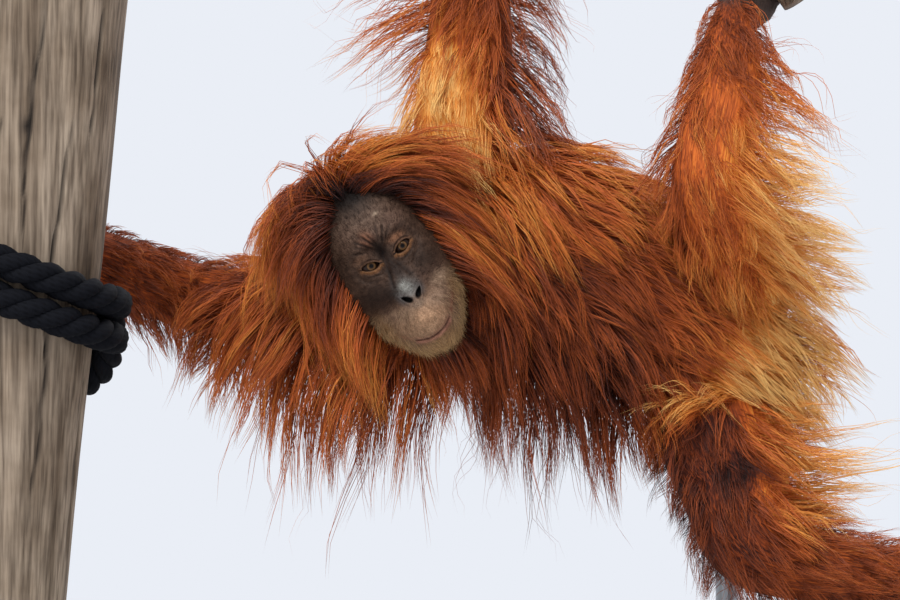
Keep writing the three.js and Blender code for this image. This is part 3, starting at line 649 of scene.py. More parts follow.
def faceMaterial():
    # Bare facial skin: matt and finely pored, with a faint sheen where it is stretched
    made, tree, shader = newMaterial("Bare facial skin", Roughness=0.62, Specular_IOR_Level=0.12)
    paint = attribute(tree, "paint").outputs["Color"]
    place = tree.nodes.new("ShaderNodeTexCoord").outputs["Object"]
    # Mottles about 5 mm across, freckles about 1.5 mm, and pores about 1.6 mm apart
    mottle = node(tree, "ShaderNodeTexNoise", {"Vector": place, "Scale": 190.0, "Detail": 3.0})
    freckle = node(tree, "ShaderNodeTexNoise", {"Vector": place, "Scale": 680.0, "Detail": 2.0})
    edges = {"feature": "DISTANCE_TO_EDGE"}
    pores = node(tree, "ShaderNodeTexVoronoi", {"Vector": place, "Scale": 620.0}, **edges)
    shades = [(0.34, "#a6937f"), (0.66, "#fff6ea")]
    specks = [(0.36, "#a18e7c"), (0.62, "#fff8ee")]
    shade = node(tree, "ShaderNodeValToRGB", {"Fac": mottle}, stops=shades)
    speck = node(tree, "ShaderNodeValToRGB", {"Fac": freckle}, stops=specks)
    marks = {"data_type": "RGBA", "blend_type": "MULTIPLY"}
    colour = node(tree, "ShaderNodeMix", {0: 0.65, 6: paint, 7: shade}, **marks)
    colour = node(tree, "ShaderNodeMix", {0: 0.55, 6: colour, 7: speck}, **marks)
    depth = node(tree, "ShaderNodeBump", {"Height": pores, "Strength": 0.5, "Distance": 0.0005})
    raised = {"Height": mottle, "Strength": 0.4, "Distance": 0.0012, "Normal": depth}
    depth = node(tree, "ShaderNodeBump", raised)
    tree.links.new(colour, shader.inputs["Base Color"])
    tree.links.new(depth, shader.inputs["Normal"])
    return made


def buildHead():
    # A ball whose pole is the nose, its rings drawn together on the face
    rings, sides = headShape["rings"], headShape["sides"]
    polar = math.pi * np.linspace(0, 1, rings) ** 1.7
    polar[0], polar[-1] = 1e-3, math.pi - 1e-3
    turn = np.arange(sides) * 2 * math.pi / sides
    pp, tt = np.repeat(polar, sides), np.tile(turn, rings)
    d = np.stack([np.sin(pp) * np.cos(tt), -np.cos(pp), -np.sin(pp) * np.sin(tt)], 1)
    verts, faces = capped(headSkin(d).reshape(rings, sides, 3))
    local = faceDetail(verts)
    paint = faceColour(local)
    setMesh("head_skin", fromHead(local), faces, "face", ["head"], faceMaterial(), paint=paint)
    return local, faces


def eyeMaterial():
    # A wet eyeball: brown iris, darker rim, dark brown white, and the gloss of a tear film
    made, tree, shader = newMaterial("Wet eye", Roughness=0.5, Specular_IOR_Level=0.0)
    shader.inputs["Coat Weight"].default_value = 0.25
    shader.inputs["Coat Roughness"].default_value = 0.05
    ring = attribute(tree, "ring").outputs["Fac"]
    pupil = eye["pupil"] / eye["iris"] / 2
    stops = [
        (0.0, "#030202"),
        (pupil, "#050303"),
        (pupil + 0.03, "#2a1b0f"),
        (0.36, "#5f4225"),
        (0.44, "#3e2914"),
        (0.5, "#170e08"),
        (0.6, "#22150f"),
        (1.0, "#2b1c15"),
    ]
    colour = node(tree, "ShaderNodeValToRGB", {"Fac": ring}, stops=stops)
    tree.links.new(colour, shader.inputs["Base Color"])
    return made


def buildEyes():
    # A ball with a bulge over the iris, looking along its gaze in the head's own axes. The ring is
    # the share of the way from the pupil's middle to twice the iris
    rings, sides = eye["rings"], eye["sides"]
    polar = np.linspace(0.01, math.pi - 0.01, rings)
    pp = np.repeat(polar, sides)
    tt = np.tile(np.arange(sides) * 2 * math.pi / sides, rings)
    iris = math.asin(eye["iris"] / eye["radius"])
    radius = eye["radius"] + eye["bulge"] * ease(1.1, 0.3, pp / iris)
    material = eyeMaterial()
    for side, name in ((-1, "eye_right"), (1, "eye_left")):
        ahead = unit(eye["gaze"][side])
        over = unit(np.cross(ahead, (0, 0, 1)))
        up = np.cross(over, ahead)
        local = (
            np.outer(np.cos(pp), ahead)
            + np.outer(np.sin(pp) * np.cos(tt), over)
            + np.outer(np.sin(pp) * np.sin(tt), up)
        ) * radius[:, None]
        local += np.array([side * eye["apart"], eye["depth"], 0])
        verts, faces = capped(local.reshape(rings, sides, 3))
        ring = np.clip(np.concatenate([[0], pp, [math.pi]]) / iris / 2, 0, 1)
        setMesh(name + "_ball", fromHead(verts), faces, "eye", [name], material, ring=ring)


headLocal, headFaces = buildHead()
buildEyes()
print("head and eyes made")

# What the hands and feet hold: an axis through `at` along `along`, with its length each way
perches = {
    "post": {
        "at": (-430, 5, 420),
        "along": (0.105, 0, 1),
        "radius": 80,
        "below": 352,
        "above": 298,
    },
    "bough": {
        "at": (215, 158, 905),
        "along": (0.56, -0.13, -0.82),
        "radius": 21,
        "below": 262,
        "above": 258,
    },
    "stub": {
        "at": (583, 84, 118),
        "along": (0.1, 0.05, 1),
        "radius": 19,
        "below": 78,
        "above": 120,
    },
}
# Sizes in millimetres, with the pitch from digit to digit
palms = {
    "hand": {"width": 72, "thick": 28, "heel": 24, "digit": 8.3, "pitch": 17.8},
    "foot": {"width": 66, "thick": 32, "heel": 26, "digit": 7.8, "pitch": 16.6},
}
# The perch, the joints before and at the wrist, which way round the palm goes, the degrees of the
# knuckles and of the digits' tips, and the thumb's two angles and its shift along the perch
grips = {
    "hand_left": ("bough", "leftElbow", "leftWrist", -1, 78, 285, (-30, -105, 34)),
    "hand_right": ("post", "rightElbow", "rightWrist", 1, 40, 92, (8, 36, 50)),
    "foot_left": ("bough", "leftKnee", "leftAnkle", 1, 72, 265, (-30, -110, 30)),
    "foot_right": ("stub", "rightKnee", "rightAnkle", 1, 78, 270, (-30, -110, 30)),
}


def makeGrip(kind, perchName, fromJoint, wristJoint, turn, knuckle, tip, thumb):
    # A palm from the wrist to the knuckles, `knuckle` degrees round the perch, with four digits
    # that go on round it to `tip`, and a thumb from and to its own angles at a shift along it
    palm, perch = palms[kind], perches[perchName]
    axis = unit(perch["along"])
    at = np.array(perch["at"], float)
    wrist = joints[wristJoint]
    foot = at + axis * ((wrist - at) @ axis)
    out = unit(wrist - foot)
    side = np.cross(axis, out) * turn

    def around(degrees, radius, shift):
        # A place round the perch, with 0 degrees on the side of the wrist
        a = math.radians(degrees)
        return foot + out * math.cos(a) * radius + side * math.sin(a) * radius + axis * shift

    parts, nails = [], []
    palmRadius = perch["radius"] + palm["thick"] * 0.5
    heel = wrist + unit(joints[fromJoint] - wrist) * palm["heel"]
    knuckles = around(knuckle + 12, palmRadius, 0)
    middle = mix(heel, knuckles, 0.5) + around(knuckle * 0.4, 9, 0) - foot
    widths = [palm["width"] * k for k in (0.36, 0.46, 0.52, 0.48)]
    depth = around(knuckle * 0.5, 1, 0) - foot
    flat = palm["thick"] / palm["width"]
    parts.append(makeLimb([heel, middle, knuckles], widths, flat, 4, depth))
    thick = palm["digit"]
    reach = tip - knuckle

    def addNail(angle, radius, shift, spread):
        # A short curved plate on the outer side of a digit's last joint
        path = [around(angle + d, radius, shift) for d in (-spread, 0, spread)]
        nails.append(makeLimb(path, (5.2, 5.8, 5.0), 0.3, 4, around(angle, 1, 0) - foot))

    for k, share in enumerate((0.86, 1, 0.97, 0.84)):
        shift = (k - 1.5) * palm["pitch"]
        last = knuckle + reach * share
        r = perch["radius"] + thick * 0.92
        path = [around(knuckle - 24, palmRadius, shift * 0.8)]
        for angle, lift in ((0.3, 2), (0.65, 1)):
            path.append(around(knuckle + reach * angle, r + lift, shift))
        path.append(around(last, r, shift))
        knobs = (1, 0.98, 1.1, 0.95, 1.02, 0.9, 0.72)
        parts.append(makeLimb(path, [thick * knob for knob in knobs]))
        addNail(last - 500 / r, r + thick * 0.62, shift, 240 / r)
    start, end, shift = thumb
    path = []
    for s in (0, 0.5, 1):
        radius = perch["radius"] + mix(16, 8, s)
        path.append(around(mix(start, end, s), radius, shift * (0.55 + 0.45 * s)))
    parts.append(makeLimb(path, [thick * knob for knob in (1.1, 1.05, 0.95, 0.75)]))
    r = perch["radius"] + 8
    nearEnd = end - math.copysign(400 / r, end - start)
    addNail(nearEnd, r + thick * 0.6, shift * 0.96, 240 / r)
    return parts, nails


gripParts = {}
gripNails = {}
for name, values in grips.items():
    gripParts[name], gripNails[name] = makeGrip(name.split("_")[0], *values)

# Balls that fill the body, to keep hair out of it: centre, radius and the squeeze in depth, with
# the limb that each belongs to
balls = []
owners = []
for name, limb in limbs.items():
    count = max(4, int(limb["length"] / 24))
    t = np.linspace(0.04, 0.985, count)
    centre, _, _, _, radius, _ = limbFrame(limb, t)
    balls.append(np.hstack([centre, radius, np.full((count, 1), 1 / limb["flat"])]))
    owners += [name] * count
# The same for the head: x, y, z and radius in head millimetres
headBalls = [
    (0, 6, 14, 62),
    (0, 8, -22, 60),
    (0, 2, 36, 54),
    (0, -8, 0, 58),
    (0, -20, -50, 46),
    (0, -50, -78, 38),
    (0, -10, -84, 36),
    (24, -10, 10, 40),
    (-24, -10, 10, 40),
]
for x, y, z, radius in headBalls:
    balls.append(np.array([[*fromHead((x, y, z)), radius, 1.0]]))
    owners.append("head")
for parts in gripParts.values():
    centre, _, _, _, radius, _ = limbFrame(parts[0], np.linspace(0.1, 0.9, 5))
    balls.append(np.hstack([centre, radius * 0.7, np.ones((5, 1))]))
    owners += ["grip"] * 5
balls = np.vstack(balls).astype(np.float32)
owners = np.array(owners)


def nearestBall(points, but=""):
    # How far each point is outside the ball whose surface is nearest, and the way out of it,
    # leaving out the balls of one limb, for so many points at a time to spare memory
    batch = 20000
    kept = balls[owners != but]
    gaps = np.empty(len(points), np.float32)
    ways = np.empty((len(points), 3), np.float32)
    for start in range(0, len(points), batch):
        p = points[start : start + batch].astype(np.float32)
        away = p[:, None, :] - kept[None, :, :3]
        away[:, :, 1] *= kept[None, :, 4]
        distance = np.sqrt(np.einsum("ijk,ijk->ij", away, away))
        gap = distance - kept[None, :, 3]
        nearest = gap.argmin(1)
        rows = np.arange(len(p))
        gaps[start : start + len(p)] = gap[rows, nearest]
        ways[start : start + len(p)] = away[rows, nearest] / (distance[rows, nearest][:, None] + 1e-6)
    return gaps, ways


def keepOut(points, clearance):
    # Points nearer the body than their clearance move straight out to it
    gaps, ways = nearestBall(points)
    return points + ways * np.maximum(clearance - gaps, 0)[:, None]


# The bare face as an oval in head millimetres, which hair goes round: its middle, its half sizes,
# its power at the jaw, the brow and the top of the forehead, and how far back it reaches in y
faceOval = {
    "z": -19,
    "halfWidth": 52,
    "halfHeight": 93,
    "powers": (2.5, 2.4, 1.6),
    "front": -12,
}


def ovalShare(local):
    # Below 1 inside the oval, which is squarer at the jaw and more pointed at the forehead
    x = np.abs(local[:, 0]) / faceOval["halfWidth"]
    z = np.abs(local[:, 2] - faceOval["z"]) / faceOval["halfHeight"]
    jaw, brow, top = faceOval["powers"]
    power = mix(jaw, brow, ease(-20, 30, local[:, 2]))
    power = mix(power, top, ease(30, 70, local[:, 2]))
    return (x**power + z**power) ** (1 / power)


def clearFace(points, room=1.0):
    # Points in front of the face move out to the edge of its oval, in its own plane
    local = toHead(points)
    share = np.maximum(ovalShare(local), 0.05)
    push = np.where((share < room) & (local[:, 1] < faceOval["front"]), room / share, 1.0)
    local[:, 0] *= push
    local[:, 2] = faceOval["z"] + (local[:, 2] - faceOval["z"]) * push
    return fromHead(local)


# How the coat lies. Each comb is a place on a limb (share of its length, degrees round it) with
# the way the hair leaves the skin, the way it ends, its length, how warm its colour is, how deep
# the coat is there and how wavy, in millimetres. Besides the coat's own colour, the warmth holds
# painted shade and painted light where marked below. On a limb 0 degrees faces +X, or up on the
# right arm, 90 faces away and 270 faces the viewer.
combs = {
    "trunk": [
        (0.04, 250, (5, -3, -7), (4, 0, -9), 90, 0.70, 14, 2),
        (0.08, 285, (1, -3, -9), (0, 0, -10), 100, 0.30, 16, 2),
        (0.20, 250, (6, -2, -7), (3, 0, -9), 84, 0.56, 12, 2),
        (0.24, 285, (6, -2, -7), (3, 0, -9), 84, 0.36, 12, 2),
        (0.35, 270, (8, -1, -6), (4, 0, -9), 62, 0.38, 9, 1),
        (0.50, 270, (8, -1, -6), (5, 0, -9), 55, 0.40, 8, 1),
        (0.65, 270, (8, -1, -5), (6, 0, -8), 60, 0.52, 9, 2),
        (0.85, 270, (6, -2, -5), (6, 0, -8), 74, 1.0, 12, 3),
        (0.96, 270, (6, -2, -4), (7, 0, -6), 70, 1.05, 10, 3),
        # The underside of the trunk, here and at 315 degrees: darker hair as painted shade under the
        # body
        (0.10, 0, (0, -1, -10), (-1, 0, -10), 118, 0.34, 16, 3),
        (0.25, 0, (0, -1, -10), (0, 0, -10), 150, 0.36, 16, 4),
        (0.40, 0, (2, -2, -10), (1, 0, -10), 150, 0.27, 16, 4),
        (0.55, 0, (2, -2, -10), (2, 0, -10), 160, 0.36, 16, 4),
        (0.70, 0, (3, -2, -10), (2, 0, -10), 95, 0.50, 14, 3),
        (0.20, 315, (4, -2, -9), (1, 0, -10), 90, 0.28, 12, 2),
        (0.50, 315, (6, -2, -8), (3, 0, -10), 75, 0.25, 10, 2),
        (0.12, 225, (6, -2, -7), (5, 0, -8), 105, 0.64, 18, 4),
        (0.30, 225, (9, -2, -4), (7, 0, -6), 88, 0.62, 16, 3),
        (0.50, 225, (9, -1, -5), (6, 0, -8), 76, 0.52, 14, 3),
        (0.20, 180, (9, -1, -2), (8, 0, -5), 100, 0.66, 20, 4),
        (0.40, 180, (9, 0, -2), (8, 0, -5), 100, 0.68, 20, 4),
        (0.60, 180, (9, 0, -1), (8, 0, -4), 88, 0.60, 18, 4),
        (0.85, 180, (8, 0, -3), (6, 0, -8), 70, 0.70, 14, 3),
        (0.20, 90, (5, 3, -8), (1, 1, -10), 110, 0.50, 18, 3),
        (0.50, 90, (6, 3, -8), (2, 1, -10), 105, 0.52, 18, 3),
        (0.80, 90, (5, 3, -8), (2, 1, -10), 90, 0.55, 16, 3),
        (0.93, 90, (3, 3, -9), (1, 1, -10), 70, 0.55, 12, 3),
    ],
    "neck": [
        (0.3, 270, (5, -3, -8), (2, 0, -10), 80, 0.28, 12, 2),
        (0.3, 180, (6, 1, 0), (5, 2, -8), 70, 0.45, 12, 2),
        (0.3, 90, (5, 4, -6), (3, 2, -9), 90, 0.5, 14, 2),
        (0.3, 0, (1, 0, -10), (0, 0, -10), 95, 0.25, 14, 2),
    ],
    "rightArm": [
        (0.16, 270, (-4, -2, -8), (-1, -1, -10), 118, 0.52, 14, 3),
        (0.26, 270, (-6, -2, -7), (-2, -1, -10), 126, 0.47, 15, 3),
        (0.38, 270, (-7, -2, -6), (-4, 0, -9), 106, 0.54, 14, 3),
        (0.50, 270, (-9, -2, -3), (-4, 0, -9), 66, 0.50, 9, 2),
        (0.20, 200, (-3, -1, -9), (0, 0, -10), 172, 0.46, 18, 4),
        (0.34, 200, (-4, -1, -8), (1, 0, -10), 158, 0.54, 18, 4),
        (0.48, 200, (-6, -1, -7), (-3, 0, -10), 84, 0.55, 14, 4),
        (0.20, 0, (-9, 0, 1), (-8, 0, -5), 70, 0.55, 14, 4),
        (0.38, 0, (-10, 0, 2), (-9, 0, -4), 60, 0.56, 12, 4),
        (0.50, 0, (-10, 0, 1), (-8, 0, -5), 45, 0.50, 9, 3),
        (0.25, 90, (-5, 3, -7), (-3, 0, -10), 110, 0.52, 16, 3),
        (0.45, 90, (-6, 3, -6), (-3, 0, -10), 90, 0.48, 12, 3),
        (0.64, 270, (7, -2, -5), (3, 0, -10), 34, 0.46, 5, 1),
        (0.82, 270, (8, -2, -5), (4, 0, -9), 28, 0.42, 5, 1),
        (0.63, 180, (5, -1, -8), (2, 0, -10), 56, 0.48, 9, 4),
        (0.82, 180, (6, -1, -7), (3, 0, -10), 44, 0.44, 7, 3),
        (0.64, 0, (9, 0, 0), (8, 0, -4), 22, 0.48, 3, 1),
        (0.88, 0, (9, 0, 0), (8, 0, -4), 18, 0.46, 3, 1),
        (0.64, 90, (6, 4, -6), (4, 0, -9), 50, 0.42, 8, 2),
        (0.86, 90, (7, 4, -5), (5, 0, -8), 38, 0.38, 6, 2),
    ],
    "leftArm": [
        # Golden hair on the left shoulder: painted light where the light falls on it
        (0.12, 270, (3, -3, -8), (5, 0, -8), 66, 0.94, 9, 2),
        (0.22, 240, (-1, -2, -9), (0, 0, -10), 52, 0.98, 7, 2),
        (0.30, 270, (-3, -2, -9), (-2, 0, -10), 60, 0.60, 8, 3),
        (0.40, 270, (-5, -2, -8), (-4, 0, -9), 78, 0.48, 12, 5),
        (0.20, 180, (-5, 0, -8), (-4, 0, -9), 56, 0.84, 9, 3),
        (0.28, 180, (-6, 0, -8), (-5, 0, -8), 56, 0.66, 8, 4),
        (0.35, 180, (-10, 0, -2), (-9, 0, -4), 138, 0.60, 12, 9),
        (0.42, 180, (-10, 0, -1), (-9, 0, -3), 130, 0.58, 12, 9),
        (0.50, 180, (-9, 0, -4), (-8, 0, -6), 105, 0.55, 12, 7),
        (0.16, 330, (5, -2, -8), (5, 0, -8), 118, 0.38, 16, 5),
        (0.26, 345, (6, -2, -8), (5, 0, -9), 120, 0.38, 18, 7),
        (0.38, 0, (8, -1, -5), (4, 0, -10), 96, 0.40, 16, 9),
        (0.50, 0, (8, -1, -5), (4, 0, -10), 96, 0.42, 14, 8),
        (0.25, 90, (2, 5, -7), (0, 1, -10), 100, 0.5, 16, 3),
        (0.45, 90, (0, 6, -6), (0, 1, -10), 100, 0.5, 14, 4),
        (0.65, 0, (8, 0, -6), (3, 0, -10), 85, 0.45, 10, 5),
        (0.65, 180, (-8, 0, -6), (-3, 0, -10), 85, 0.5, 10, 5),
        (0.65, 90, (0, 8, -6), (0, 1, -10), 85, 0.45, 10, 4),
        (0.65, 270, (0, -7, -7), (0, -1, -10), 60, 0.45, 8, 3),
        (0.90, 0, (7, 0, -7), (3, 0, -10), 46, 0.4, 7, 3),
        (0.90, 180, (-7, 0, -7), (-3, 0, -10), 46, 0.42, 7, 3),
        (0.90, 270, (0, -6, -8), (0, -1, -10), 36, 0.4, 6, 2),
        (0.90, 90, (0, 6, -8), (0, 1, -10), 44, 0.4, 7, 2),
    ],
    "leftLeg": [
        (0.08, 270, (5, -2, -6), (7, 0, -7), 60, 1.0, 9, 3),
        (0.22, 0, (8, -1, -4), (9, 0, -4), 84, 1.0, 12, 4),
        (0.34, 0, (9, -1, -2), (10, 0, -2), 88, 1.0, 12, 4),
        (0.46, 0, (9, -1, -2), (10, 0, -2), 90, 1.0, 12, 4),
        (0.60, 0, (9, 0, -4), (8, 0, -6), 90, 0.94, 13, 6),
        (0.78, 0, (8, 0, -5), (5, 0, -8), 84, 0.66, 13, 8),
        (0.90, 0, (7, 0, -6), (4, 0, -9), 72, 0.56, 11, 7),
        (0.95, 270, (3, -3, -9), (3, 0, -9), 56, 0.42, 9, 3),
        (0.34, 305, (7, -3, -6), (8, 0, -5), 88, 0.92, 12, 3),
        (0.50, 305, (6, -3, -7), (7, 0, -6), 80, 0.76, 10, 3),
        (0.30, 260, (3, -3, -8), (4, 0, -9), 52, 0.62, 7, 2),
        (0.46, 260, (3, -3, -8), (3, 0, -9), 46, 0.60, 6, 2),
        (0.62, 260, (3, -2, -9), (2, 0, -10), 46, 0.60, 6, 2),
        (0.80, 260, (2, -2, -9), (2, 0, -10), 44, 0.48, 6, 2),
        (0.30, 180, (-2, 0, -9), (-1, 0, -10), 45, 0.52, 8, 2),
        (0.48, 180, (-4, 0, -8), (-2, 0, -10), 46, 0.50, 8, 3),
        (0.64, 180, (-6, 0, -8), (-2, 0, -10), 62, 0.52, 9, 6),
        (0.84, 180, (-6, 0, -8), (-2, 0, -10), 48, 0.52, 7, 6),
        (0.30, 90, (5, 5, -6), (4, 1, -9), 85, 0.66, 12, 3),
        (0.60, 90, (3, 7, -6), (2, 1, -10), 85, 0.62, 12, 4),
        (0.88, 90, (1, 7, -7), (1, 1, -10), 60, 0.5, 9, 4),
    ],
    "rightLeg": [
        (0.10, 270, (-6, -4, 1), (-8, -1, -3), 66, 0.86, 12, 3),
        (0.22, 270, (1, -3, -9), (2, 0, -10), 54, 0.26, 8, 2),
        (0.34, 270, (2, -3, -9), (3, 0, -9), 50, 0.20, 7, 2),
        (0.45, 270, (4, -3, -8), (5, 0, -8), 54, 0.34, 7, 2),
        (0.20, 180, (9, -1, 1), (10, 0, 0), 104, 0.90, 14, 4),
        (0.34, 180, (9, -1, 1), (10, 0, -1), 112, 0.94, 14, 4),
        (0.44, 190, (9, -1, 0), (10, 0, -2), 100, 0.82, 12, 4),
        (0.25, 225, (6, -3, -6), (8, 0, -5), 90, 0.74, 11, 3),
        (0.38, 225, (6, -3, -6), (8, 0, -5), 80, 0.66, 10, 3),
        (0.20, 0, (-1, -1, -9), (0, 0, -10), 38, 0.24, 5, 2),
        (0.36, 0, (-1, -2, -9), (1, 0, -10), 36, 0.22, 4, 2),
        (0.46, 0, (-2, -2, -9), (0, 0, -10), 42, 0.34, 5, 3),
        (0.25, 90, (4, 6, -5), (4, 1, -9), 85, 0.6, 12, 3),
        (0.60, 0, (6, 0, -7), (8, 0, -5), 60, 0.44, 9, 3),
        (0.82, 0, (6, 0, -7), (8, 0, -5), 52, 0.42, 8, 3),
        (0.60, 270, (9, -3, -3), (10, 0, -3), 50, 0.48, 7, 2),
        (0.82, 270, (9, -3, -3), (10, 0, -3), 42, 0.46, 6, 2),
        (0.60, 180, (10, 0, 2), (10, 0, -1), 52, 0.60, 8, 3),
        (0.82, 180, (10, 0, 2), (10, 0, -1), 40, 0.55, 6, 2),
        (0.60, 90, (7, 6, -4), (8, 1, -5), 55, 0.5, 9, 3),
        (0.85, 90, (8, 6, -3), (9, 1, -4), 42, 0.46, 7, 2),
    ],
}
# On the head the place is a share from the crown to under the chin and degrees from the nose
# towards the animal's left, and the ways are in the head's own axes
headCombs = [
    (0.08, 0, (4, -3, 4), (8, -1, -4), 112, 0.66, 14, 2),
    (0.14, 15, (8, -3, 2), (9, -1, -4), 108, 0.74, 12, 2),
    (0.19, -30, (-8, -1, 4), (-6, -1, -8), 100, 0.34, 10, 1),
    # The rows here with warmth 0.05 to 0.12 are short near-black hair along the top of the face:
    # painted shadow under the forelock
    (0.20, -16, (-3, 1, 8), (-8, 1, -4), 56, 0.08, 5, 1),
    (0.20, 2, (8, -3, 1), (8, -1, -5), 50, 0.05, 4, 1),
    (0.20, 28, (8, -3, 0), (7, -1, -6), 98, 0.60, 12, 1),
    (0.27, 32, (8, -3, -3), (5, -1, -8), 58, 0.12, 5, 1),
    (0.36, 48, (6, -3, -6), (2, -1, -9), 80, 0.24, 8, 1),
    (0.20, 60, (9, -2, -1), (3, -1, -9), 130, 0.50, 22, 2),
    (0.33, 75, (5, -3, -7), (0, -1, -10), 122, 0.50, 22, 2),
    (0.45, 58, (3, -4, -8), (-1, -1, -10), 100, 0.66, 11, 2),
    (0.45, 86, (3, -3, -9), (0, -1, -10), 112, 0.48, 18, 2),
    (0.58, 80, (4, -3, -8), (0, -1, -10), 105, 0.46, 18, 3),
    (0.75, 80, (3, -1, -9), (-1, 0, -10), 90, 0.34, 14, 3),
    (0.14, -60, (-9, -3, 3), (-5, -1, -9), 122, 0.60, 18, 2),
    (0.22, -90, (-9, -2, 1), (-4, -1, -9), 116, 0.64, 20, 2),
    (0.36, -90, (-7, -2, -7), (-1, -1, -10), 110, 0.62, 20, 2),
    (0.52, -90, (-6, -1, -8), (-1, 0, -10), 104, 0.66, 20, 3),
    (0.70, -90, (-4, -1, -9), (-3, 0, -10), 92, 0.70, 18, 3),
    (0.28, -35, (-8, -2, -2), (-5, -1, -9), 105, 0.34, 12, 1),
    (0.40, -50, (-7, -3, -7), (-3, -1, -10), 100, 0.28, 14, 1),
    (0.48, -62, (-5, -3, -8), (-2, -1, -10), 96, 0.54, 14, 2),
    (0.55, -52, (-5, -3, -8), (-2, -1, -10), 90, 0.54, 14, 2),
    (0.72, -55, (-4, -2, -9), (-3, -1, -10), 78, 0.54, 10, 2),
    (0.12, 180, (-2, 6, 1), (-4, 2, -9), 120, 0.66, 18, 2),
    (0.30, 180, (-1, 4, -8), (-4, 1, -9), 120, 0.50, 24, 2),
    (0.55, 180, (0, 3, -9), (-4, 1, -9), 110, 0.48, 18, 2),
    (0.90, 0, (0, -2, -9), (-4, 0, -9), 60, 0.34, 8, 2),
    (0.90, 180, (0, 2, -9), (-4, 0, -9), 80, 0.36, 10, 2),
]


def combAt(rows, t, angle, turn=None):
    # Every place takes the mean of the combs, each weighed by its squared distance, squared and
    # inverted. A tenth of the length counts as 45 degrees, and `soft` keeps the nearest finite
    soft = 0.04
    table = np.array([[r[0], r[1], *unit(r[2]), *unit(r[3]), *r[4:]] for r in rows], float)
    if turn is not None:
        table[:, 2:5] = table[:, 2:5] @ turn.T
        table[:, 5:8] = table[:, 5:8] @ turn.T
    alongLimb = (t[:, None] - table[:, 0]) / 0.1
    roundLimb = ((angle[:, None] - table[:, 1] + 180) % 360 - 180) / 45
    weight = 1 / (alongLimb**2 + roundLimb**2 + soft) ** 2
    weight /= weight.sum(1, keepdims=True)
    values = weight @ table[:, 2:]
    return {
        "flow": unit(values[:, 0:3]),
        "fall": unit(values[:, 3:6]),
        "long": values[:, 6],
        "warm": values[:, 7],
        "depth": values[:, 8],
        "wave": values[:, 9],
    }


# One piece of coat per entry: where it grows, how many locks it starts from, and the half width
# of a hair in millimetres. A lock has 7 hairs of 5 steps each unless the entry says otherwise
coatPieces = {
    "coat_head_a": {"on": "head", "locks": 870, "thick": 0.54},
    "coat_head_b": {"on": "head", "locks": 870, "thick": 0.42},
    "coat_trunk_a": {"on": "trunk", "locks": 820, "thick": 0.57},
    "coat_trunk_b": {"on": "trunk", "locks": 820, "thick": 0.47},
    "coat_arm_right": {"on": "rightArm", "locks": 860, "thick": 0.58},
    "coat_arm_left": {"on": "leftArm", "locks": 690, "thick": 0.49, "steps": 6},
    "coat_leg_left": {"on": "leftLeg", "locks": 690, "thick": 0.48, "steps": 6},
    "coat_leg_right": {"on": "rightLeg", "locks": 760, "thick": 0.48},
    "coat_neck": {"on": "neck", "locks": 200, "thick": 0.5},
}
# Long wisps that curl out of the coat, and how they differ from its locks
wispPieces = {
    "wisps_arm_left": {"on": "leftArm", "locks": 130, "thick": 0.36, "curl": 2.2},
    "wisps_leg_left": {"on": "leftLeg", "locks": 105, "thick": 0.36, "curl": 2.2},
    "wisps_leg_right": {"on": "rightLeg", "locks": 80, "thick": 0.36, "curl": 2.2},
    "wisps_arm_right": {"on": "rightArm", "locks": 40, "thick": 0.36, "curl": 2.0},
    "wisps_trunk": {"on": "trunk", "locks": 80, "thick": 0.38, "curl": 2.0},
}
wispShape = {"hairs": 3, "steps": 12}
# The limbs whose hair could fall over the face
nearFace = ("head", "neck", "trunk", "leftArm", "rightArm")
# How a lock is made: its spread at the root, how far its hairs draw together, their fray at the
# tip, how it lifts, strays and drifts, how far it is drawn to its leader, how many share a leader,
# the share of longer ones, the length of a wave, and how the warmth varies: from lock to lock,
# from hair to hair, darker at the root as painted shade within the coat, and lighter at the tip
lockShape = {
    "spread": 8.0,
    "clump": 0.7,
    "frizz": 2.1,
    "lift": 0.5,
    "stray": {"head": 0.05, "body": 0.1},
    "swirl": {"head": 0.12, "body": 0.3},
    "pull": {"head": 0.15, "body": 0.72},
    "group": 11,
    "longer": 0.07,
    "wave": 46.0,
    "tone": 0.055,
    "hairTone": 0.045,
    "root": -0.12,
    "tip": 0.17,
}


def swirl(points, size, seed):
    # A direction that drifts smoothly from place to place: four sine waves about `size` long,
    # each along its own way
    waves = np.random.default_rng(seed)
    drift = np.zeros_like(points)
    for k in range(4):
        wave = unit(waves.normal(size=3)) * 2 * math.pi / size * waves.uniform(0.6, 1.5)
        drift += unit(waves.normal(size=3)) * np.sin(points @ wave + waves.uniform(0, 6.28))[:, None]
    return drift / 2


def placeOn(on, t, angle):
    # A root's place and normal, 2 mm under the surface of a limb
    if on == "head":
        return headPlace(t * 180, angle)
    return limbSkin(limbs[on], t, angle, -2.0)


def rootsOn(on, wanted):
    # Random places, picked by the area of skin that each stands for, thinned at the back, and
    # only where no other limb covers them and off the face
    many = wanted * 8
    t = rng.uniform(0.004, 0.996, many)
    angle = rng.uniform(0, 360, many) - 180
    place, normal = placeOn(on, t, angle)
    ahead = placeOn(on, t + 0.003, angle)[0] - place
    aside = placeOn(on, t, angle + 3)[0] - place
    weight = np.linalg.norm(np.cross(ahead, aside), axis=1)
    weight *= 0.72 - 0.28 * normal[:, 1]
    gaps = nearestBall(place + normal * 9, on)[0]
    weight *= gaps > (2.0 if on != "neck" else 0.5)
    if on == "head":
        local = toHead(place)
        weight *= (ovalShare(local) > 0.97) | (local[:, 1] > faceOval["front"] + 4)
    chosen = rng.choice(many, wanted, replace=False, p=weight / weight.sum())
    return t[chosen], angle[chosen]


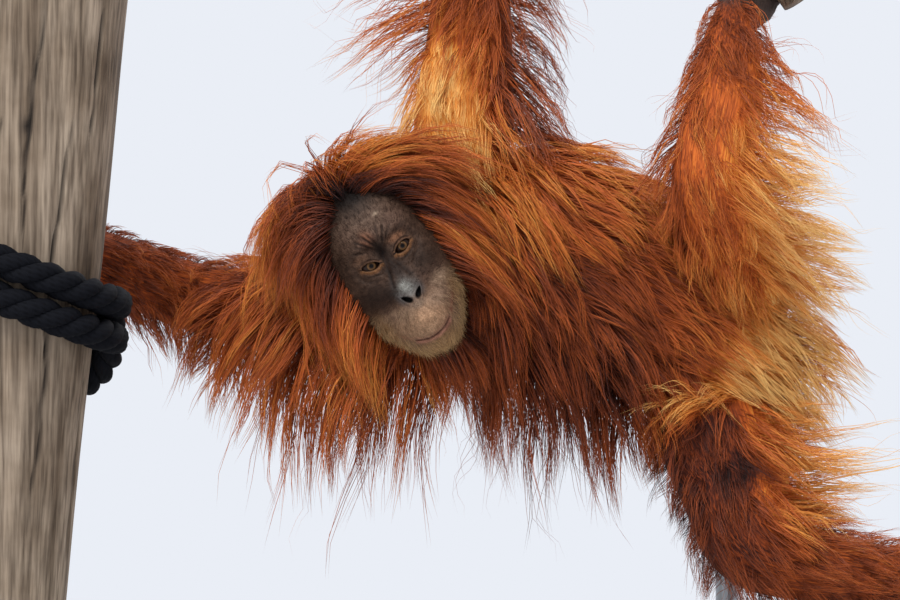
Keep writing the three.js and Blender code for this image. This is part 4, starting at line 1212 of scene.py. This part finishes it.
def growLines(on, lie, place, normal, layer, long, steps):
    # Each line turns from the way hair leaves the skin to the way it ends, lifted at first,
    # straying and drifting, and is kept out of the body and off the face
    kind = "head" if on == "head" else "body"
    step = (long / steps)[:, None]
    stray = unit(rng.normal(size=(len(place), 3))) * lockShape["stray"][kind]
    lift = lockShape["lift"] * (0.5 + layer)[:, None]
    line = [place]
    for k in range(steps):
        s = (k + 0.5) / steps
        point = line[-1]
        way = unit(mix(lie["flow"], lie["fall"], ease(0.05, 0.95, s)))
        drift = swirl(point, 120, 11) * lockShape["swirl"][kind] + swirl(point, 45, 12) * 0.12
        way = unit(way + normal * lift * (1 - s) ** 2 + stray + drift)
        room = 1.0 + lie["depth"] * layer * ease(0, 0.35, (k + 1) / steps)
        point = keepOut(point + way * step, room)
        if on in nearFace:
            point = clearFace(point, 1.0 + 0.06 * rng.uniform(0, 1, len(place)))
        line.append(point)
    return np.stack(line, 1)


def drawTogether(line, longer, kind):
    # Locks near one another move towards the line of one leader, most of all at their tips, while
    # the longer ones stay where they are
    count, points = line.shape[:2]
    leaders = rng.choice(count, count // lockShape["group"], replace=False)
    apart = np.linalg.norm(line[:, None, 2] - line[None, leaders, 2], axis=2)
    leader = leaders[apart.argmin(1)]
    shift = (line[leader] - line) * ease(60, 25, apart.min(1))[:, None, None]
    share = lockShape["pull"][kind] * np.linspace(0, 1, points) ** 1.5
    return line + shift * share[None, :, None] * (1 - longer[:, None, None])


def splitLocks(on, line, t, angle, place, hairs):
    # Each hair has its own root near the lock's, keeps less of that shift towards its tip, and
    # ends a little before or after the lock's own line
    count, points = line.shape[:2]
    steps = points - 1
    s = np.linspace(0, 1, points)
    radius = limbFrame(limbs[on], t)[4][:, 0] if on != "head" else np.full(count, 70.0)
    length = limbs[on]["length"] if on != "head" else 250.0
    turn = rng.uniform(0, 2 * math.pi, (count, hairs))
    away = lockShape["spread"] * np.sqrt(rng.uniform(0, 1, (count, hairs)))
    aside = np.degrees(np.sin(turn) * away / np.maximum(radius, 20)[:, None])
    hairT = np.clip(t[:, None] + np.cos(turn) * away / length, 0.005, 0.995).ravel()
    hairAngle = (angle[:, None] + aside).ravel()
    roots = placeOn(on, hairT, hairAngle)[0].reshape(count, hairs, 3)
    cut = rng.uniform(0.5, 1.04, (count, hairs))
    x = np.clip(s[None, None, :] * cut[:, :, None] * steps, 0, steps)
    i = np.minimum(x.astype(int), steps - 1)
    lock = np.arange(count)[:, None, None]
    part = (x - i)[..., None]
    centre = line[lock, i] * (1 - part) + line[lock, i + 1] * part
    gather = 1 - lockShape["clump"] * ease(0, 0.9, s)
    offset = (roots - place[:, None, :])[:, :, None, :] * gather[None, None, :, None]
    return centre + offset, hairT, hairAngle


def waveHairs(centre, lie, long, longer, curl):
    # A sine wave across each lock, and a second one a quarter turn on and at right angles to it
    # where the lock curls. Both grow from the root, and the hairs fray at their tips
    count, hairs, points = centre.shape[:3]
    s = np.linspace(0, 1, points)
    sway = unit(rng.normal(size=(count, 1, 1, 3)))
    aside = np.cross(sway, lie["fall"][:, None, None, :]) * ease(1, 2, curl)
    phase = rng.uniform(0, 6.28, (count, 1, 1)) + rng.uniform(-0.9, 0.9, (count, hairs, 1))
    turns = long[:, None, None] / lockShape["wave"] / curl
    wave = np.sin(phase + 6.28 * turns * s) - np.sin(phase)
    other = np.cos(phase + 6.28 * turns * s) - np.cos(phase)
    swing = (lie["wave"] * (1 + 0.8 * longer) * 0.8 * curl)[:, None, None] * s
    centre = centre + sway * (wave * swing)[..., None] + aside * (other * swing)[..., None]
    fray = rng.normal(size=(count, hairs, 1, 3)) * (lockShape["frizz"] * s**2)[None, None, :, None]
    return centre + fray


def growPiece(name, on, locks, thick, hairs=7, steps=5, curl=1.0):
    # Locks from random roots, lying as the combs say and split into hairs. Warmth is the comb's,
    # less in the deep coat as painted shade, and varies from patch to patch, lock to lock and
    # hair to hair
    kind = "head" if on == "head" else "body"
    rows, turn = (headCombs, headTurn) if on == "head" else (combs[on], None)
    t, angle = rootsOn(on, locks)
    lie = combAt(rows, t, angle, turn)
    place, normal = placeOn(on, t, angle)
    layer = rng.uniform(0.05, 1, locks) ** 0.8
    patches = swirl(place, 90, 7)[:, 0]
    long = lie["long"] * rng.uniform(0.74, 1.1, locks) * (1 + 0.16 * patches)
    longer = (rng.uniform(0, 1, locks) < lockShape["longer"]) | (curl > 1)
    long = np.where(longer, long * rng.uniform(1.15, 1.5, locks), long)
    line = growLines(on, lie, place, normal, layer, long, steps)
    line = drawTogether(line, longer, kind)
    centre, hairT, hairAngle = splitLocks(on, line, t, angle, place, hairs)
    centre = waveHairs(centre, lie, long, longer, curl).reshape(-1, steps + 1, 3)
    free = keepOut(centre[:, 1:].reshape(-1, 3), 0.8)
    if on in nearFace:
        free = clearFace(free, 0.985)
    centre[:, 1:] = free.reshape(-1, steps, 3)
    # Hairs low in the coat are darker, as painted shade
    warm = lie["warm"] + rng.normal(size=locks) * lockShape["tone"] - 0.1 * (1 - layer) + 0.06 * patches
    warm = warm[:, None] + rng.normal(size=(locks, hairs)) * lockShape["hairTone"]
    half = np.repeat(thick * rng.uniform(0.75, 1.15, locks), hairs)
    half = half * np.clip(np.repeat(long, hairs) / 70, 0.7, 1.1)
    addHairs(name, centre, half, warm.ravel(), hairT, hairAngle)
    print(name, "grown")


def spindleFaces(points):
    # Triangles of one three-sided hair of so many points, its last one the tip
    faces = [(0, 2, 1)]
    for k in range(points - 2):
        for a, b in ((0, 1), (1, 2), (2, 0)):
            a, b = a + 3 * k, b + 3 * k
            faces += [(a, b, b + 3), (a, b + 3, a + 3)]
    top, tip = 3 * (points - 2), 3 * (points - 1)
    faces += [(top, top + 1, tip), (top + 1, top + 2, tip), (top + 2, top, tip)]
    return np.array(faces)


def addBakeMap(made, share, points, t, angle):
    # A hair is a patch 0.003 across at its root's place on the skin unwrapped by turn and length
    size = 0.003
    across = np.concatenate([np.tile([0, size / 2, size], points - 1), [size / 2]])
    patch = np.stack([across, share * size], 1)
    base = np.stack([0.02 + 0.95 * ((angle % 360) / 360), 0.02 + 0.95 * t], 1)
    uv = (base[:, None, :] + patch[None]).reshape(-1, 2)
    corners = np.empty(len(made.data.loops), np.int32)
    made.data.loops.foreach_get("vertex_index", corners)
    layer = made.data.uv_layers.new(name="OFBake")
    layer.data.foreach_set("uv", uv[corners].astype(np.float32).ravel())


def addHairs(name, centre, half, warm, t, angle, material=None, paint=None):
    # Each hair is a three-sided spindle along its points, closed by its root face and its tip
    count, points = centre.shape[:2]
    s = np.linspace(0, 1, points)
    along = unit(np.gradient(centre, axis=1))
    over = unit(np.cross(along, unit(rng.normal(size=(count, 1, 3)))))
    across = np.cross(along, over)
    shape = (0.75 + 0.6 * s) * (1 - s**1.35) ** 0.9
    radius = half[:, None] * np.minimum(shape, 1)[None, :]
    sides = []
    for turn in (0, 2.0944, 4.18879):  # thirds of a turn
        sides.append(centre + (over * math.cos(turn) + across * math.sin(turn)) * radius[..., None])
    rings = np.stack(sides, 2)[:, :-1]
    verts = np.concatenate([rings.reshape(count, -1, 3), centre[:, -1:]], 1)
    perHair = 3 * (points - 1) + 1
    faces = spindleFaces(points)
    allFaces = (np.arange(count)[:, None, None] * perHair + faces[None]).reshape(-1, 3)
    share = np.concatenate([np.repeat(s[:-1], 3), [1.0]])
    # Darker at the root as painted shade within the coat, lighter towards the tip
    tint = warm[:, None] + mix(lockShape["root"], lockShape["tip"], share)[None, :]
    marks = {"warm": np.clip(tint, 0, 1).ravel()}
    if paint is not None:
        # Fine hair is darker at the root too, as painted shade
        lighter = mix(0.7, 1.1, share)[None, :, None]
        marks = {"paint": (paint[:, None, :] * lighter).reshape(-1, 3)}
    made = setMesh(name, verts.reshape(-1, 3), allFaces, "coat", (), material or hair, **marks)
    addBakeMap(made, share, points, t, angle)


def fuzzMaterial():
    # Fine hair of the face, pale on the muzzle and brown above: duller than the long coat
    made, tree, shader = newMaterial("Fine facial hair", Roughness=0.65, Specular_IOR_Level=0.12)
    paint = attribute(tree, "paint").outputs["Color"]
    tree.links.new(paint, shader.inputs["Base Color"])
    return made


# Fine hair of the face: how many, steps in a hair, and for the brow, the muzzle and its rim the
# length in millimetres and the colour
faceFuzz = {
    "count": 5200,
    "steps": 3,
    "half": 0.14,
    "brow": (7, "#2f1b11"),
    "muzzle": (7, "#a98a6c"),
    "rim": (13, "#c9a170"),
}


def fuzzWeight(cross, middle, rim, low):
    # The area of each triangle where it is face, more at the rim, less on the muzzle, and none on
    # the eyes, nostrils, lips and nose
    x, y, z = middle.T
    share = ovalShare(middle)
    weight = np.linalg.norm(cross, axis=1) * (y < -14) * (share < 1.02)
    weight *= 0.9 - 0.35 * low + 0.7 * rim + 0.4 * ease(0.8, 1.0, share)
    for side in (-1, 1):
        above, below, u = eyeOpening(x, z, side)
        weight *= 1 - (np.abs(u) < 1.2) * (above < 2.5) * (below < 4)
        weight *= nostril(x, z, side) > 1.5
    line = z - mouthLine(x)
    lips = (np.abs(line) < 4.5) * (np.abs(x - mouth["centreX"]) < mouth["halfWidth"] * 1.05)
    weight *= 1 - lips
    weight *= 1 - 0.95 * bump(x / 15) * bump((z + 42) / 13)
    return weight / weight.sum()


def growFaceFuzz():
    # Roots are picked by weight on the face's own triangles, and the hairs lean away from the nose
    a, b, c = (headLocal[headFaces[:, k]] for k in range(3))
    cross = np.cross(b - a, c - a)
    middle = (a + b + c) / 3
    out = unit(cross) * np.sign(np.einsum("ij,ij->i", cross, middle).sum())
    z = middle[:, 2]
    rim = ease(0.68, 0.97, ovalShare(middle)) * ease(-34, -64, z)
    low = ease(-38, -56, z)
    picked = rng.choice(len(middle), faceFuzz["count"], p=fuzzWeight(cross, middle, rim, low))
    one, two = rng.uniform(0, 1, (2, len(picked), 1))
    fold = one + two > 1
    one, two = np.where(fold, 1 - one, one), np.where(fold, 1 - two, two)
    root = a[picked] + (b - a)[picked] * one + (c - a)[picked] * two
    normal = out[picked]
    rim, low = rim[picked], low[picked]
    # Away from the nose, downwards on the muzzle and upwards on the brow
    away = np.stack([root[:, 0], root[:, 0] * 0, root[:, 2] + 42 - 26 * low], 1)
    away = unit(away - normal * np.einsum("ij,ij->i", away, normal)[:, None])
    lengths = mix(mix(faceFuzz["brow"][0], faceFuzz["muzzle"][0], low), faceFuzz["rim"][0], rim)
    lengths = lengths * rng.uniform(0.6, 1.2, len(root))
    stray = rng.normal(size=root.shape) * 0.22
    steps = faceFuzz["steps"]
    line = [root - normal * 0.4]
    for k in range(steps):
        way = unit(away + normal * mix(0.55, 0.25, k / steps) + stray)
        line.append(line[-1] + way * (lengths / steps)[:, None])
    line = np.stack(line, 1)
    paints = [np.array(linear(faceFuzz[key][1])[:3]) for key in ("brow", "muzzle", "rim")]
    paint = mix(mix(paints[0], paints[1], low[:, None]), paints[2], rim[:, None])
    paint = paint * rng.uniform(0.55, 1.2, (len(root), 1))
    # Darker towards the shadow under the forelock
    paint = paint * mix(1.0, 0.3, ease(34, 60, root[:, 2]))[:, None]
    half = faceFuzz["half"] * rng.uniform(0.8, 1.3, len(root))
    polar = np.arccos(np.clip(unit(root)[:, 2], -1, 1)) / math.pi
    azimuth = np.degrees(np.arctan2(root[:, 0], -root[:, 1]))
    centre = fromHead(line.reshape(-1, 3)).reshape(line.shape)
    none = np.zeros(len(root))
    addHairs("coat_face", centre, half, none, polar, azimuth, fuzzMaterial(), paint)


# Short hair on the backs of the hands and feet: how many on each, steps, length and half width
gripHair = {"count": 520, "steps": 3, "long": 28, "half": 0.34}


def growGripHair():
    # From the wrist to the knuckles on the side away from the perch, lying towards the digits
    lines, halves, warms, shares, turns = [], [], [], [], []
    count, steps = gripHair["count"], gripHair["steps"]
    for parts in gripParts.values():
        t = rng.uniform(0.02, 0.86, count)
        angle = 90 + rng.uniform(-1, 1, count) * mix(175, 72, ease(0.12, 0.42, t))
        place, normal = limbSkin(parts[0], t, angle, -1.0)
        tangent = limbFrame(parts[0], t)[3]
        long = gripHair["long"] * mix(1.3, 0.5, t) * rng.uniform(0.7, 1.1, count)
        stray = rng.normal(size=place.shape) * 0.2
        line = [place]
        for k in range(steps):
            way = unit(tangent + normal * 0.3 * (1 - k / steps) + stray)
            line.append(line[-1] + way * (long / steps)[:, None])
        lines.append(np.stack(line, 1))
        halves.append(gripHair["half"] * rng.uniform(0.8, 1.2, count))
        warms.append(rng.normal(0.42, 0.07, count))
        shares.append(t)
        turns.append(angle)
    whole = [np.concatenate(rows) for rows in (lines, halves, warms, shares, turns)]
    addHairs("coat_grips", *whole)


# The skin: how far it lies under the limbs' surface, the size of a voxel, how far from a wrist
# the skin can be bare, in millimetres, how much its fur is drawn out along the limb, and what is
# taken off the coat's warmth because the grain of the fur adds its own
fleshSkin = {
    "inset": 2.0,
    "voxel": 4.4,
    "smoothing": 5,
    "bareReach": 190,
    "stretch": 0.07,
    "furWarmth": 0.55,
}


def buildSkin():
    # All the flesh but the head as overlapping tubes, made into one closed skin by a voxel
    # remesh and smoothed, then coloured like the coat that grows on it
    parts = [limbTube(limb, 90, 40, -fleshSkin["inset"]) for limb in limbs.values()]
    for pieces in gripParts.values():
        parts += [limbTube(piece, 40, 20) for piece in pieces]
    verts, faces = joinMeshes(parts)
    rough = bpy.data.meshes.new("flesh")
    rough.from_pydata((verts * mm).tolist(), [], faces.tolist())
    body = bpy.data.objects.new("flesh", rough)
    bpy.context.scene.collection.objects.link(body)
    remesh = body.modifiers.new("one skin", "REMESH")
    remesh.mode = "VOXEL"
    remesh.voxel_size = fleshSkin["voxel"] * mm
    smooth = body.modifiers.new("smooth", "SMOOTH")
    smooth.iterations = fleshSkin["smoothing"]
    graph = bpy.context.evaluated_depsgraph_get()
    final = bpy.data.meshes.new_from_object(body.evaluated_get(graph))
    bpy.data.objects.remove(body)
    verts = np.empty(len(final.vertices) * 3, np.float32)
    final.vertices.foreach_get("co", verts)
    verts = verts.reshape(-1, 3) / mm
    final.calc_loop_triangles()
    faces = np.empty(len(final.loop_triangles) * 3, np.int32)
    final.loop_triangles.foreach_get("vertices", faces)
    flesh = ["neck", "chest", "belly", "pelvis", "ear_left", "ear_right"]
    for part in ("upper_arm", "forearm", "hand", "thigh", "shin", "foot"):
        flesh += [part + "_left", part + "_right"]
    setMesh("body_skin", verts, faces.reshape(-1, 3), "skin", flesh, leather, **skinTones(verts))


def skinTones(verts):
    # Warmth of the coat at the nearest limb, how bare the skin is beyond the wrist, and the place
    # round and along the limb, the last shrunk to draw the fur out
    best = np.full(len(verts), 1e9)
    warm = np.full(len(verts), 0.4)
    bare = np.zeros(len(verts))
    lie = np.zeros((len(verts), 3))
    rows = np.arange(len(verts))
    for name, limb in limbs.items():
        t = np.linspace(0.01, 0.99, 60)
        centre, across, back, tangent, radius, _ = limbFrame(limb, t)
        away = verts[:, None, :] - centre[None]
        gap = np.linalg.norm(away, axis=2) - radius[None, :, 0]
        near = gap.argmin(1)
        offset = away[rows, near]
        x = (offset * across[near]).sum(1)
        y = (offset * back[near]).sum(1)
        run = t[near] * limb["length"] + (offset * tangent[near]).sum(1)
        value = combAt(combs[name], t[near], np.degrees(np.arctan2(y, x)))["warm"]
        closer = gap[rows, near] < best
        best = np.where(closer, gap[rows, near], best)
        warm = np.where(closer, value - fleshSkin["furWarmth"], warm)
        grain = np.stack([x, y, run * fleshSkin["stretch"]], 1) * mm
        lie = np.where(closer[:, None], grain, lie)
        if "Arm" in name or "Leg" in name:
            wrist = np.linalg.norm(verts - centre[-1], axis=1)
            beyond = ease(-6, 18, ((verts - centre[-4]) * unit(centre[-1] - centre[-4])).sum(1))
            bare = np.maximum(bare, beyond * (wrist < fleshSkin["bareReach"]))
    return {"warm": warm, "bare": bare, "lie": lie}


def nailMaterial():
    # Keratin nails: dark, smooth and slightly glossy
    return newMaterial("Dark keratin", Base_Color=linear("#1f1815"), Roughness=0.35)[0]


def buildNails():
    # Every nail as a flattened closed tube, all in one piece
    verts, faces = joinMeshes([limbTube(n, 14, 12) for nails in gripNails.values() for n in nails])
    setMesh("nails", verts, faces, "skin", (), nailMaterial())


buildSkin()
buildNails()
print("skin made")
for name, settings in coatPieces.items():
    growPiece(name, **settings)
for name, settings in wispPieces.items():
    growPiece(name, **wispShape, **settings)
growFaceFuzz()
growGripHair()
print("short hair grown")


def woodMaterial(name, light, dark, grain):
    # Weathered wood: silver-grey fibres with darker checks, both drawn out along the grain. The
    # checks are dark as painted shade, and the knots are dark wood.
    # The fibres are about 2 mm wide, coarser than real ones so that they show
    made, tree, shader = newMaterial(name, Roughness=0.82, Specular_IOR_Level=0.25)
    place = tree.nodes.new("ShaderNodeTexCoord").outputs["Object"]
    lean = node(tree, "ShaderNodeMapping", {"Vector": place, "Rotation": grain, "Scale": (1, 1, 0.045)})
    fibre = node(tree, "ShaderNodeTexNoise", {"Vector": lean, "Scale": 240.0, "Detail": 5.0})
    broad = node(tree, "ShaderNodeTexNoise", {"Vector": lean, "Scale": 42.0, "Detail": 3.0})
    stain = node(tree, "ShaderNodeTexNoise", {"Vector": place, "Scale": 14.0, "Detail": 4.0})
    fibres = node(tree, "ShaderNodeValToRGB", {"Fac": fibre}, stops=[(0.32, dark), (0.62, light)])
    bandStops = [(0.34, "#a0968c"), (0.56, "#ffffff")]
    blotStops = [(0.3, "#b0a496"), (0.62, "#ffffff")]
    bands = node(tree, "ShaderNodeValToRGB", {"Fac": broad}, stops=bandStops)
    blots = node(tree, "ShaderNodeValToRGB", {"Fac": stain}, stops=blotStops)
    darken = {"data_type": "RGBA", "blend_type": "MULTIPLY"}
    both = node(tree, "ShaderNodeMix", {0: 0.8, 6: fibres, 7: bands}, **darken)
    colour = node(tree, "ShaderNodeMix", {0: 0.8, 6: both, 7: blots}, **darken)
    # The crack attribute: painted shade in the checks and the dark of the knots
    crack = attribute(tree, "crack").outputs["Fac"]
    deep = node(tree, "ShaderNodeRGB")
    deep.default_value = linear("#1b1613")
    final = node(tree, "ShaderNodeMix", {0: crack, 6: colour, 7: deep}, data_type="RGBA")
    depth = node(tree, "ShaderNodeBump", {"Height": fibre, "Strength": 0.6, "Distance": 0.0016})
    raised = {"Height": broad, "Strength": 0.5, "Distance": 0.003, "Normal": depth}
    depth = node(tree, "ShaderNodeBump", raised)
    tree.links.new(final, shader.inputs["Base Color"])
    tree.links.new(depth, shader.inputs["Normal"])
    return made


# Wood lengths: how the radius wobbles, the grid, and the checks (degrees round, height, length,
# half width and depth in millimetres)
woodPieces = {
    "perch_post": {
        "perch": "post",
        "swell": 0.012,
        "rows": 150,
        "sides": 150,
        "light": "#9c8b78",
        "dark": "#655749",
        "checks": [
            (272, 150, 330, 1.5, 7),
            (300, -60, 420, 1.3, 6),
            (249, 40, 240, 1.0, 4),
            (236, -190, 260, 1.1, 5),
            (318, 190, 200, 1.0, 4),
            (205, 60, 460, 1.6, 6),
            (165, -80, 380, 1.4, 6),
            (110, 90, 420, 1.5, 6),
            (60, -100, 400, 1.4, 6),
            (20, 110, 300, 1.2, 5),
            (345, -170, 240, 1.2, 5),
        ],
        "knots": [(269, 137, 5, 9), (318, -40, 3, 5)],
    },
    "perch_bough": {
        "perch": "bough",
        "swell": 0.05,
        "rows": 110,
        "sides": 48,
        "light": "#8d7a66",
        "dark": "#4a3c31",
        "checks": [(200, 0, 240, 0.8, 2), (300, 120, 160, 0.8, 2), (80, -110, 200, 0.8, 2)],
    },
    "perch_stub": {
        "perch": "stub",
        "swell": 0.04,
        "rows": 60,
        "sides": 48,
        "light": "#8d7a66",
        "dark": "#4a3c31",
        "checks": [(200, 20, 90, 0.8, 2), (290, 40, 70, 0.8, 2)],
    },
}


def buildWood(name, perch, swell, rows, sides, light, dark, checks, knots=()):
    # A round length with slow wobble, and checks and knots sunk into it
    p = perches[perch]
    axis = unit(p["along"])
    over = unit(np.cross((0, 1, 0), axis))
    away = np.cross(axis, over)
    height = np.linspace(-p["below"], p["above"], rows)
    turn = np.arange(sides) * 360 / sides
    hh, aa = np.repeat(height, sides), np.tile(turn, rows)
    radius = p["radius"] * (1 + swell * np.sin(hh / 70 + 1) * np.cos(np.radians(2 * aa)))
    crack = np.zeros_like(hh)
    # Each check is sunk into the wood and darkened through crack as painted shade
    for angle, middle, length, half, depth in checks:
        wander = 2.4 * np.sin(hh / 47 + angle) + 1.1 * np.sin(hh / 13 + angle * 2)
        off = ((aa - angle + 180) % 360 - 180) * math.radians(1) * p["radius"] - wander
        fade = np.clip(1 - ((hh - middle) / (length / 2)) ** 2, 0, 1) ** 0.5
        crack = np.maximum(crack, fade * bump(off / (half * (0.4 + fade))))
        radius -= depth * fade * bump(off / (half * 1.3))
    # Knots are sunk a little and darkened as dark wood
    for angle, middle, wide, tall in knots:
        off = ((aa - angle + 180) % 360 - 180) * math.radians(1) * p["radius"]
        spot = bump(np.hypot(off / wide, (hh - middle) / tall))
        crack = np.maximum(crack, 0.9 * spot)
        radius -= 2 * spot
    rings = (
        np.array(p["at"], float)
        + np.outer(hh, axis)
        + np.outer(np.cos(np.radians(aa)) * radius, over)
        + np.outer(np.sin(np.radians(aa)) * radius, away)
    )
    verts, faces = capped(rings.reshape(rows, sides, 3))
    grain = (0.0, -math.atan2(axis[0], axis[2]), 0.0)
    material = woodMaterial("Weathered timber " + perch, light, dark, grain)
    crack = np.concatenate([[0], crack, [0]])
    setMesh(name + "_wood", verts, faces, "timber", [name], material, crack=crack)


# The lashing: two turns of three-strand rope round the post, with each turn's height, the radius
# of a strand and of its orbit, the length of one lay and how deep the yarns' grooves are
rope = {
    "radius": 16.8,
    "slope": 0.38,
    "sag": 62,
    "turns": {"upper": 419, "lower": 383.6},
    "strands": 3,
    "strand": 8.9,
    "orbit": 7.9,
    "lay": 78,
    "yarns": 9,
    "groove": 1.1,
    "steps": 420,
    "sides": 18,
    # Colours of the rope in the grooves between the yarns and on their lighter crests
    "colour": "#060609",
    "crest": "#111217",
}


def ropeMaterial():
    # Black polyester rope, softened by weather: dull filaments with a faint blue sheen, in yarns
    # about 5 mm wide
    made, tree, shader = newMaterial("Black polyester rope", Roughness=0.85, Specular_IOR_Level=0.08)
    yarn = attribute(tree, "yarn").outputs["Fac"]
    place = tree.nodes.new("ShaderNodeTexCoord").outputs["Object"]
    fuzz = node(tree, "ShaderNodeTexNoise", {"Vector": place, "Scale": 900.0, "Detail": 3.0})
    # Lighter on the yarns' crests than in the grooves between them
    tones = [(0.0, rope["colour"]), (1.0, rope["crest"])]
    shade = node(tree, "ShaderNodeValToRGB", {"Fac": yarn}, stops=tones)
    depth = node(tree, "ShaderNodeBump", {"Height": fuzz, "Strength": 0.6, "Distance": 0.001})
    tree.links.new(shade, shader.inputs["Base Color"])
    tree.links.new(depth, shader.inputs["Normal"])
    return made


def ropeCurve(height):
    # A ring round the post, sheared down towards +X in front and sunk behind
    post = perches["post"]
    axis = unit(post["along"])
    ring = post["radius"] + rope["radius"] - 1
    turn = np.linspace(0, 2 * math.pi, rope["steps"], endpoint=False)
    x, y = np.cos(turn) * ring, np.sin(turn) * ring
    z = -(rope["slope"] * x + rope["sag"] * ease(-45, 60, y - 0.5 * x))
    return np.array(post["at"]) + axis * (height - post["at"][2]) + np.stack([x, y, z], 1)


def loopFaces(rows, columns):
    # Triangles of rings of points closed both ways
    i = np.arange(rows)[:, None] * columns
    k = np.arange(columns)[None, :]
    nextRow, nextSide = (i + columns) % (rows * columns), (k + 1) % columns
    near = np.stack([i + k, i + nextSide, nextRow + nextSide], -1).reshape(-1, 3)
    far = np.stack([i + k, nextRow + nextSide, nextRow + k], -1).reshape(-1, 3)
    return np.vstack([near, far])


def ropeStrand(centre, phase):
    # A strand that winds round the rope's curve by phase, with yarns that wind round it the other
    # way as ridges
    steps, sides = rope["steps"], rope["sides"]
    tangent = unit(np.roll(centre, -1, 0) - np.roll(centre, 1, 0))
    over = unit(np.cross(tangent, (0, 0, 1)))
    up = np.cross(over, tangent)
    c, s = np.cos(phase)[:, None], np.sin(phase)[:, None]
    middle = centre + (over * c + up * s) * rope["orbit"]
    way = unit(np.roll(middle, -1, 0) - np.roll(middle, 1, 0))
    out = unit(over * c + up * s)
    out = unit(out - way * (out * way).sum(1, keepdims=True))
    side = np.cross(way, out)
    pp = np.repeat(phase, sides)
    aa = np.tile(np.arange(sides) * 2 * math.pi / sides, steps)
    ridge = np.abs(np.cos((aa + pp * 2.2) * rope["yarns"] / 2))
    radius = rope["strand"] - rope["groove"] + rope["groove"] * ridge
    rings = (
        np.repeat(middle, sides, 0)
        + np.repeat(out, sides, 0) * (np.cos(aa) * radius)[:, None]
        + np.repeat(side, sides, 0) * (np.sin(aa) * radius)[:, None]
    )
    return rings, ridge


def buildRope():
    # Each turn is closed, so its strands wind a whole number of lays round it
    material = ropeMaterial()
    faces = loopFaces(rope["steps"], rope["sides"])
    for name, height in rope["turns"].items():
        centre = ropeCurve(height)
        step = np.linalg.norm(np.roll(centre, -1, 0) - centre, axis=1)
        run = np.concatenate([[0], np.cumsum(step)[:-1]])
        length = step.sum()
        lays = round(length / rope["lay"])
        parts, tones = [], []
        for k in range(rope["strands"]):
            phase = 2 * math.pi * (run / length * lays + k / rope["strands"])
            rings, ridge = ropeStrand(centre, phase)
            parts.append((rings, faces))
            tones.append(ridge)
        verts, allFaces = joinMeshes(parts)
        part = "lashing_" + name
        setMesh(part + "_rope", verts, allFaces, "rope", [part], material, yarn=np.concatenate(tones))


def finishStand():
    # The stand keeps its CAD form: painted board with an eggshell coat, and brushed steel rods
    board = newMaterial("Painted board", Base_Color=linear("#b9b8b2"), Roughness=0.6)[0]
    grey = linear("#8b8d90")
    steel = newMaterial("Brushed steel", Base_Color=grey, Metallic=1.0, Roughness=0.35)[0]
    for name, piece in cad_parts.items():
        if name.startswith("stand_"):
            piece.data.materials.clear()
            piece.data.materials.append(board if name == "stand_base" else steel)


for name, settings in woodPieces.items():
    buildWood(name, **settings)
buildRope()
finishStand()
print("wood, rope and stand made")

# Studio: a pale floor, a pale sky, one soft light above and one behind, each with its place, what
# it faces, its size in metres and its power in watts
studio = {
    "sky": "#eaeef6",
    "skyStrength": 1.0,
    "floor": "#d9dade",
    "floorRadius": 2.0,
    "floorPlace": (0, -0.8, 0),
    "key": ((-1.2, -2.2, 3.4), (0, 0, 0.45), 2.4, 150),
    "rim": ((1.4, 2.4, 2.2), (0, 0.1, 0.5), 1.6, 60),
}


def buildStudio():
    # The floor is small enough to stay out of the camera's view
    world = bpy.data.worlds.new("studio")
    bpy.context.scene.world = world
    world.use_nodes = True
    sky = world.node_tree.nodes["Background"]
    sky.inputs["Color"].default_value = linear(studio["sky"])
    sky.inputs["Strength"].default_value = studio["skyStrength"]
    for name in ("key", "rim"):
        place, target, size, power = studio[name]
        lamp = bpy.data.lights.new(name, "AREA")
        lamp.shape = "DISK"
        lamp.size = size
        lamp.energy = power
        made = bpy.data.objects.new(name, lamp)
        made.location = place
        made.rotation_euler = (Vector(target) - Vector(place)).to_track_quat("-Z", "Y").to_euler()
        bpy.context.scene.collection.objects.link(made)
    radius, place = studio["floorRadius"], studio["floorPlace"]
    bpy.ops.mesh.primitive_circle_add(vertices=96, radius=radius, fill_type="NGON", location=place)
    floor = bpy.context.object
    floor.name = "studio_floor"
    pale = linear(studio["floor"])
    floor.data.materials.append(newMaterial("Matt floor paint", Base_Color=pale, Roughness=0.9)[0])
    floor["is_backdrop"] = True


# The camera stands 5 m in front, level with the head, with a 200 mm lens
camera = {"place": (0, -5, 0.385), "lens": 200, "sensor": 36}


def placeCamera():
    # Level, looking along +Y
    lens = bpy.data.cameras.new("camera")
    lens.lens = camera["lens"]
    lens.sensor_width = camera["sensor"]
    made = bpy.data.objects.new("camera", lens)
    made.location = camera["place"]
    made.rotation_euler = (math.radians(90), 0, 0)
    bpy.context.scene.collection.objects.link(made)
    bpy.context.scene.camera = made


buildStudio()
placeCamera()
bpy.context.scene.view_settings.view_transform = "Standard"
triangles = sum(len(p.data.polygons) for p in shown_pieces() if p.type == "MESH")
print("triangles in all:", triangles)
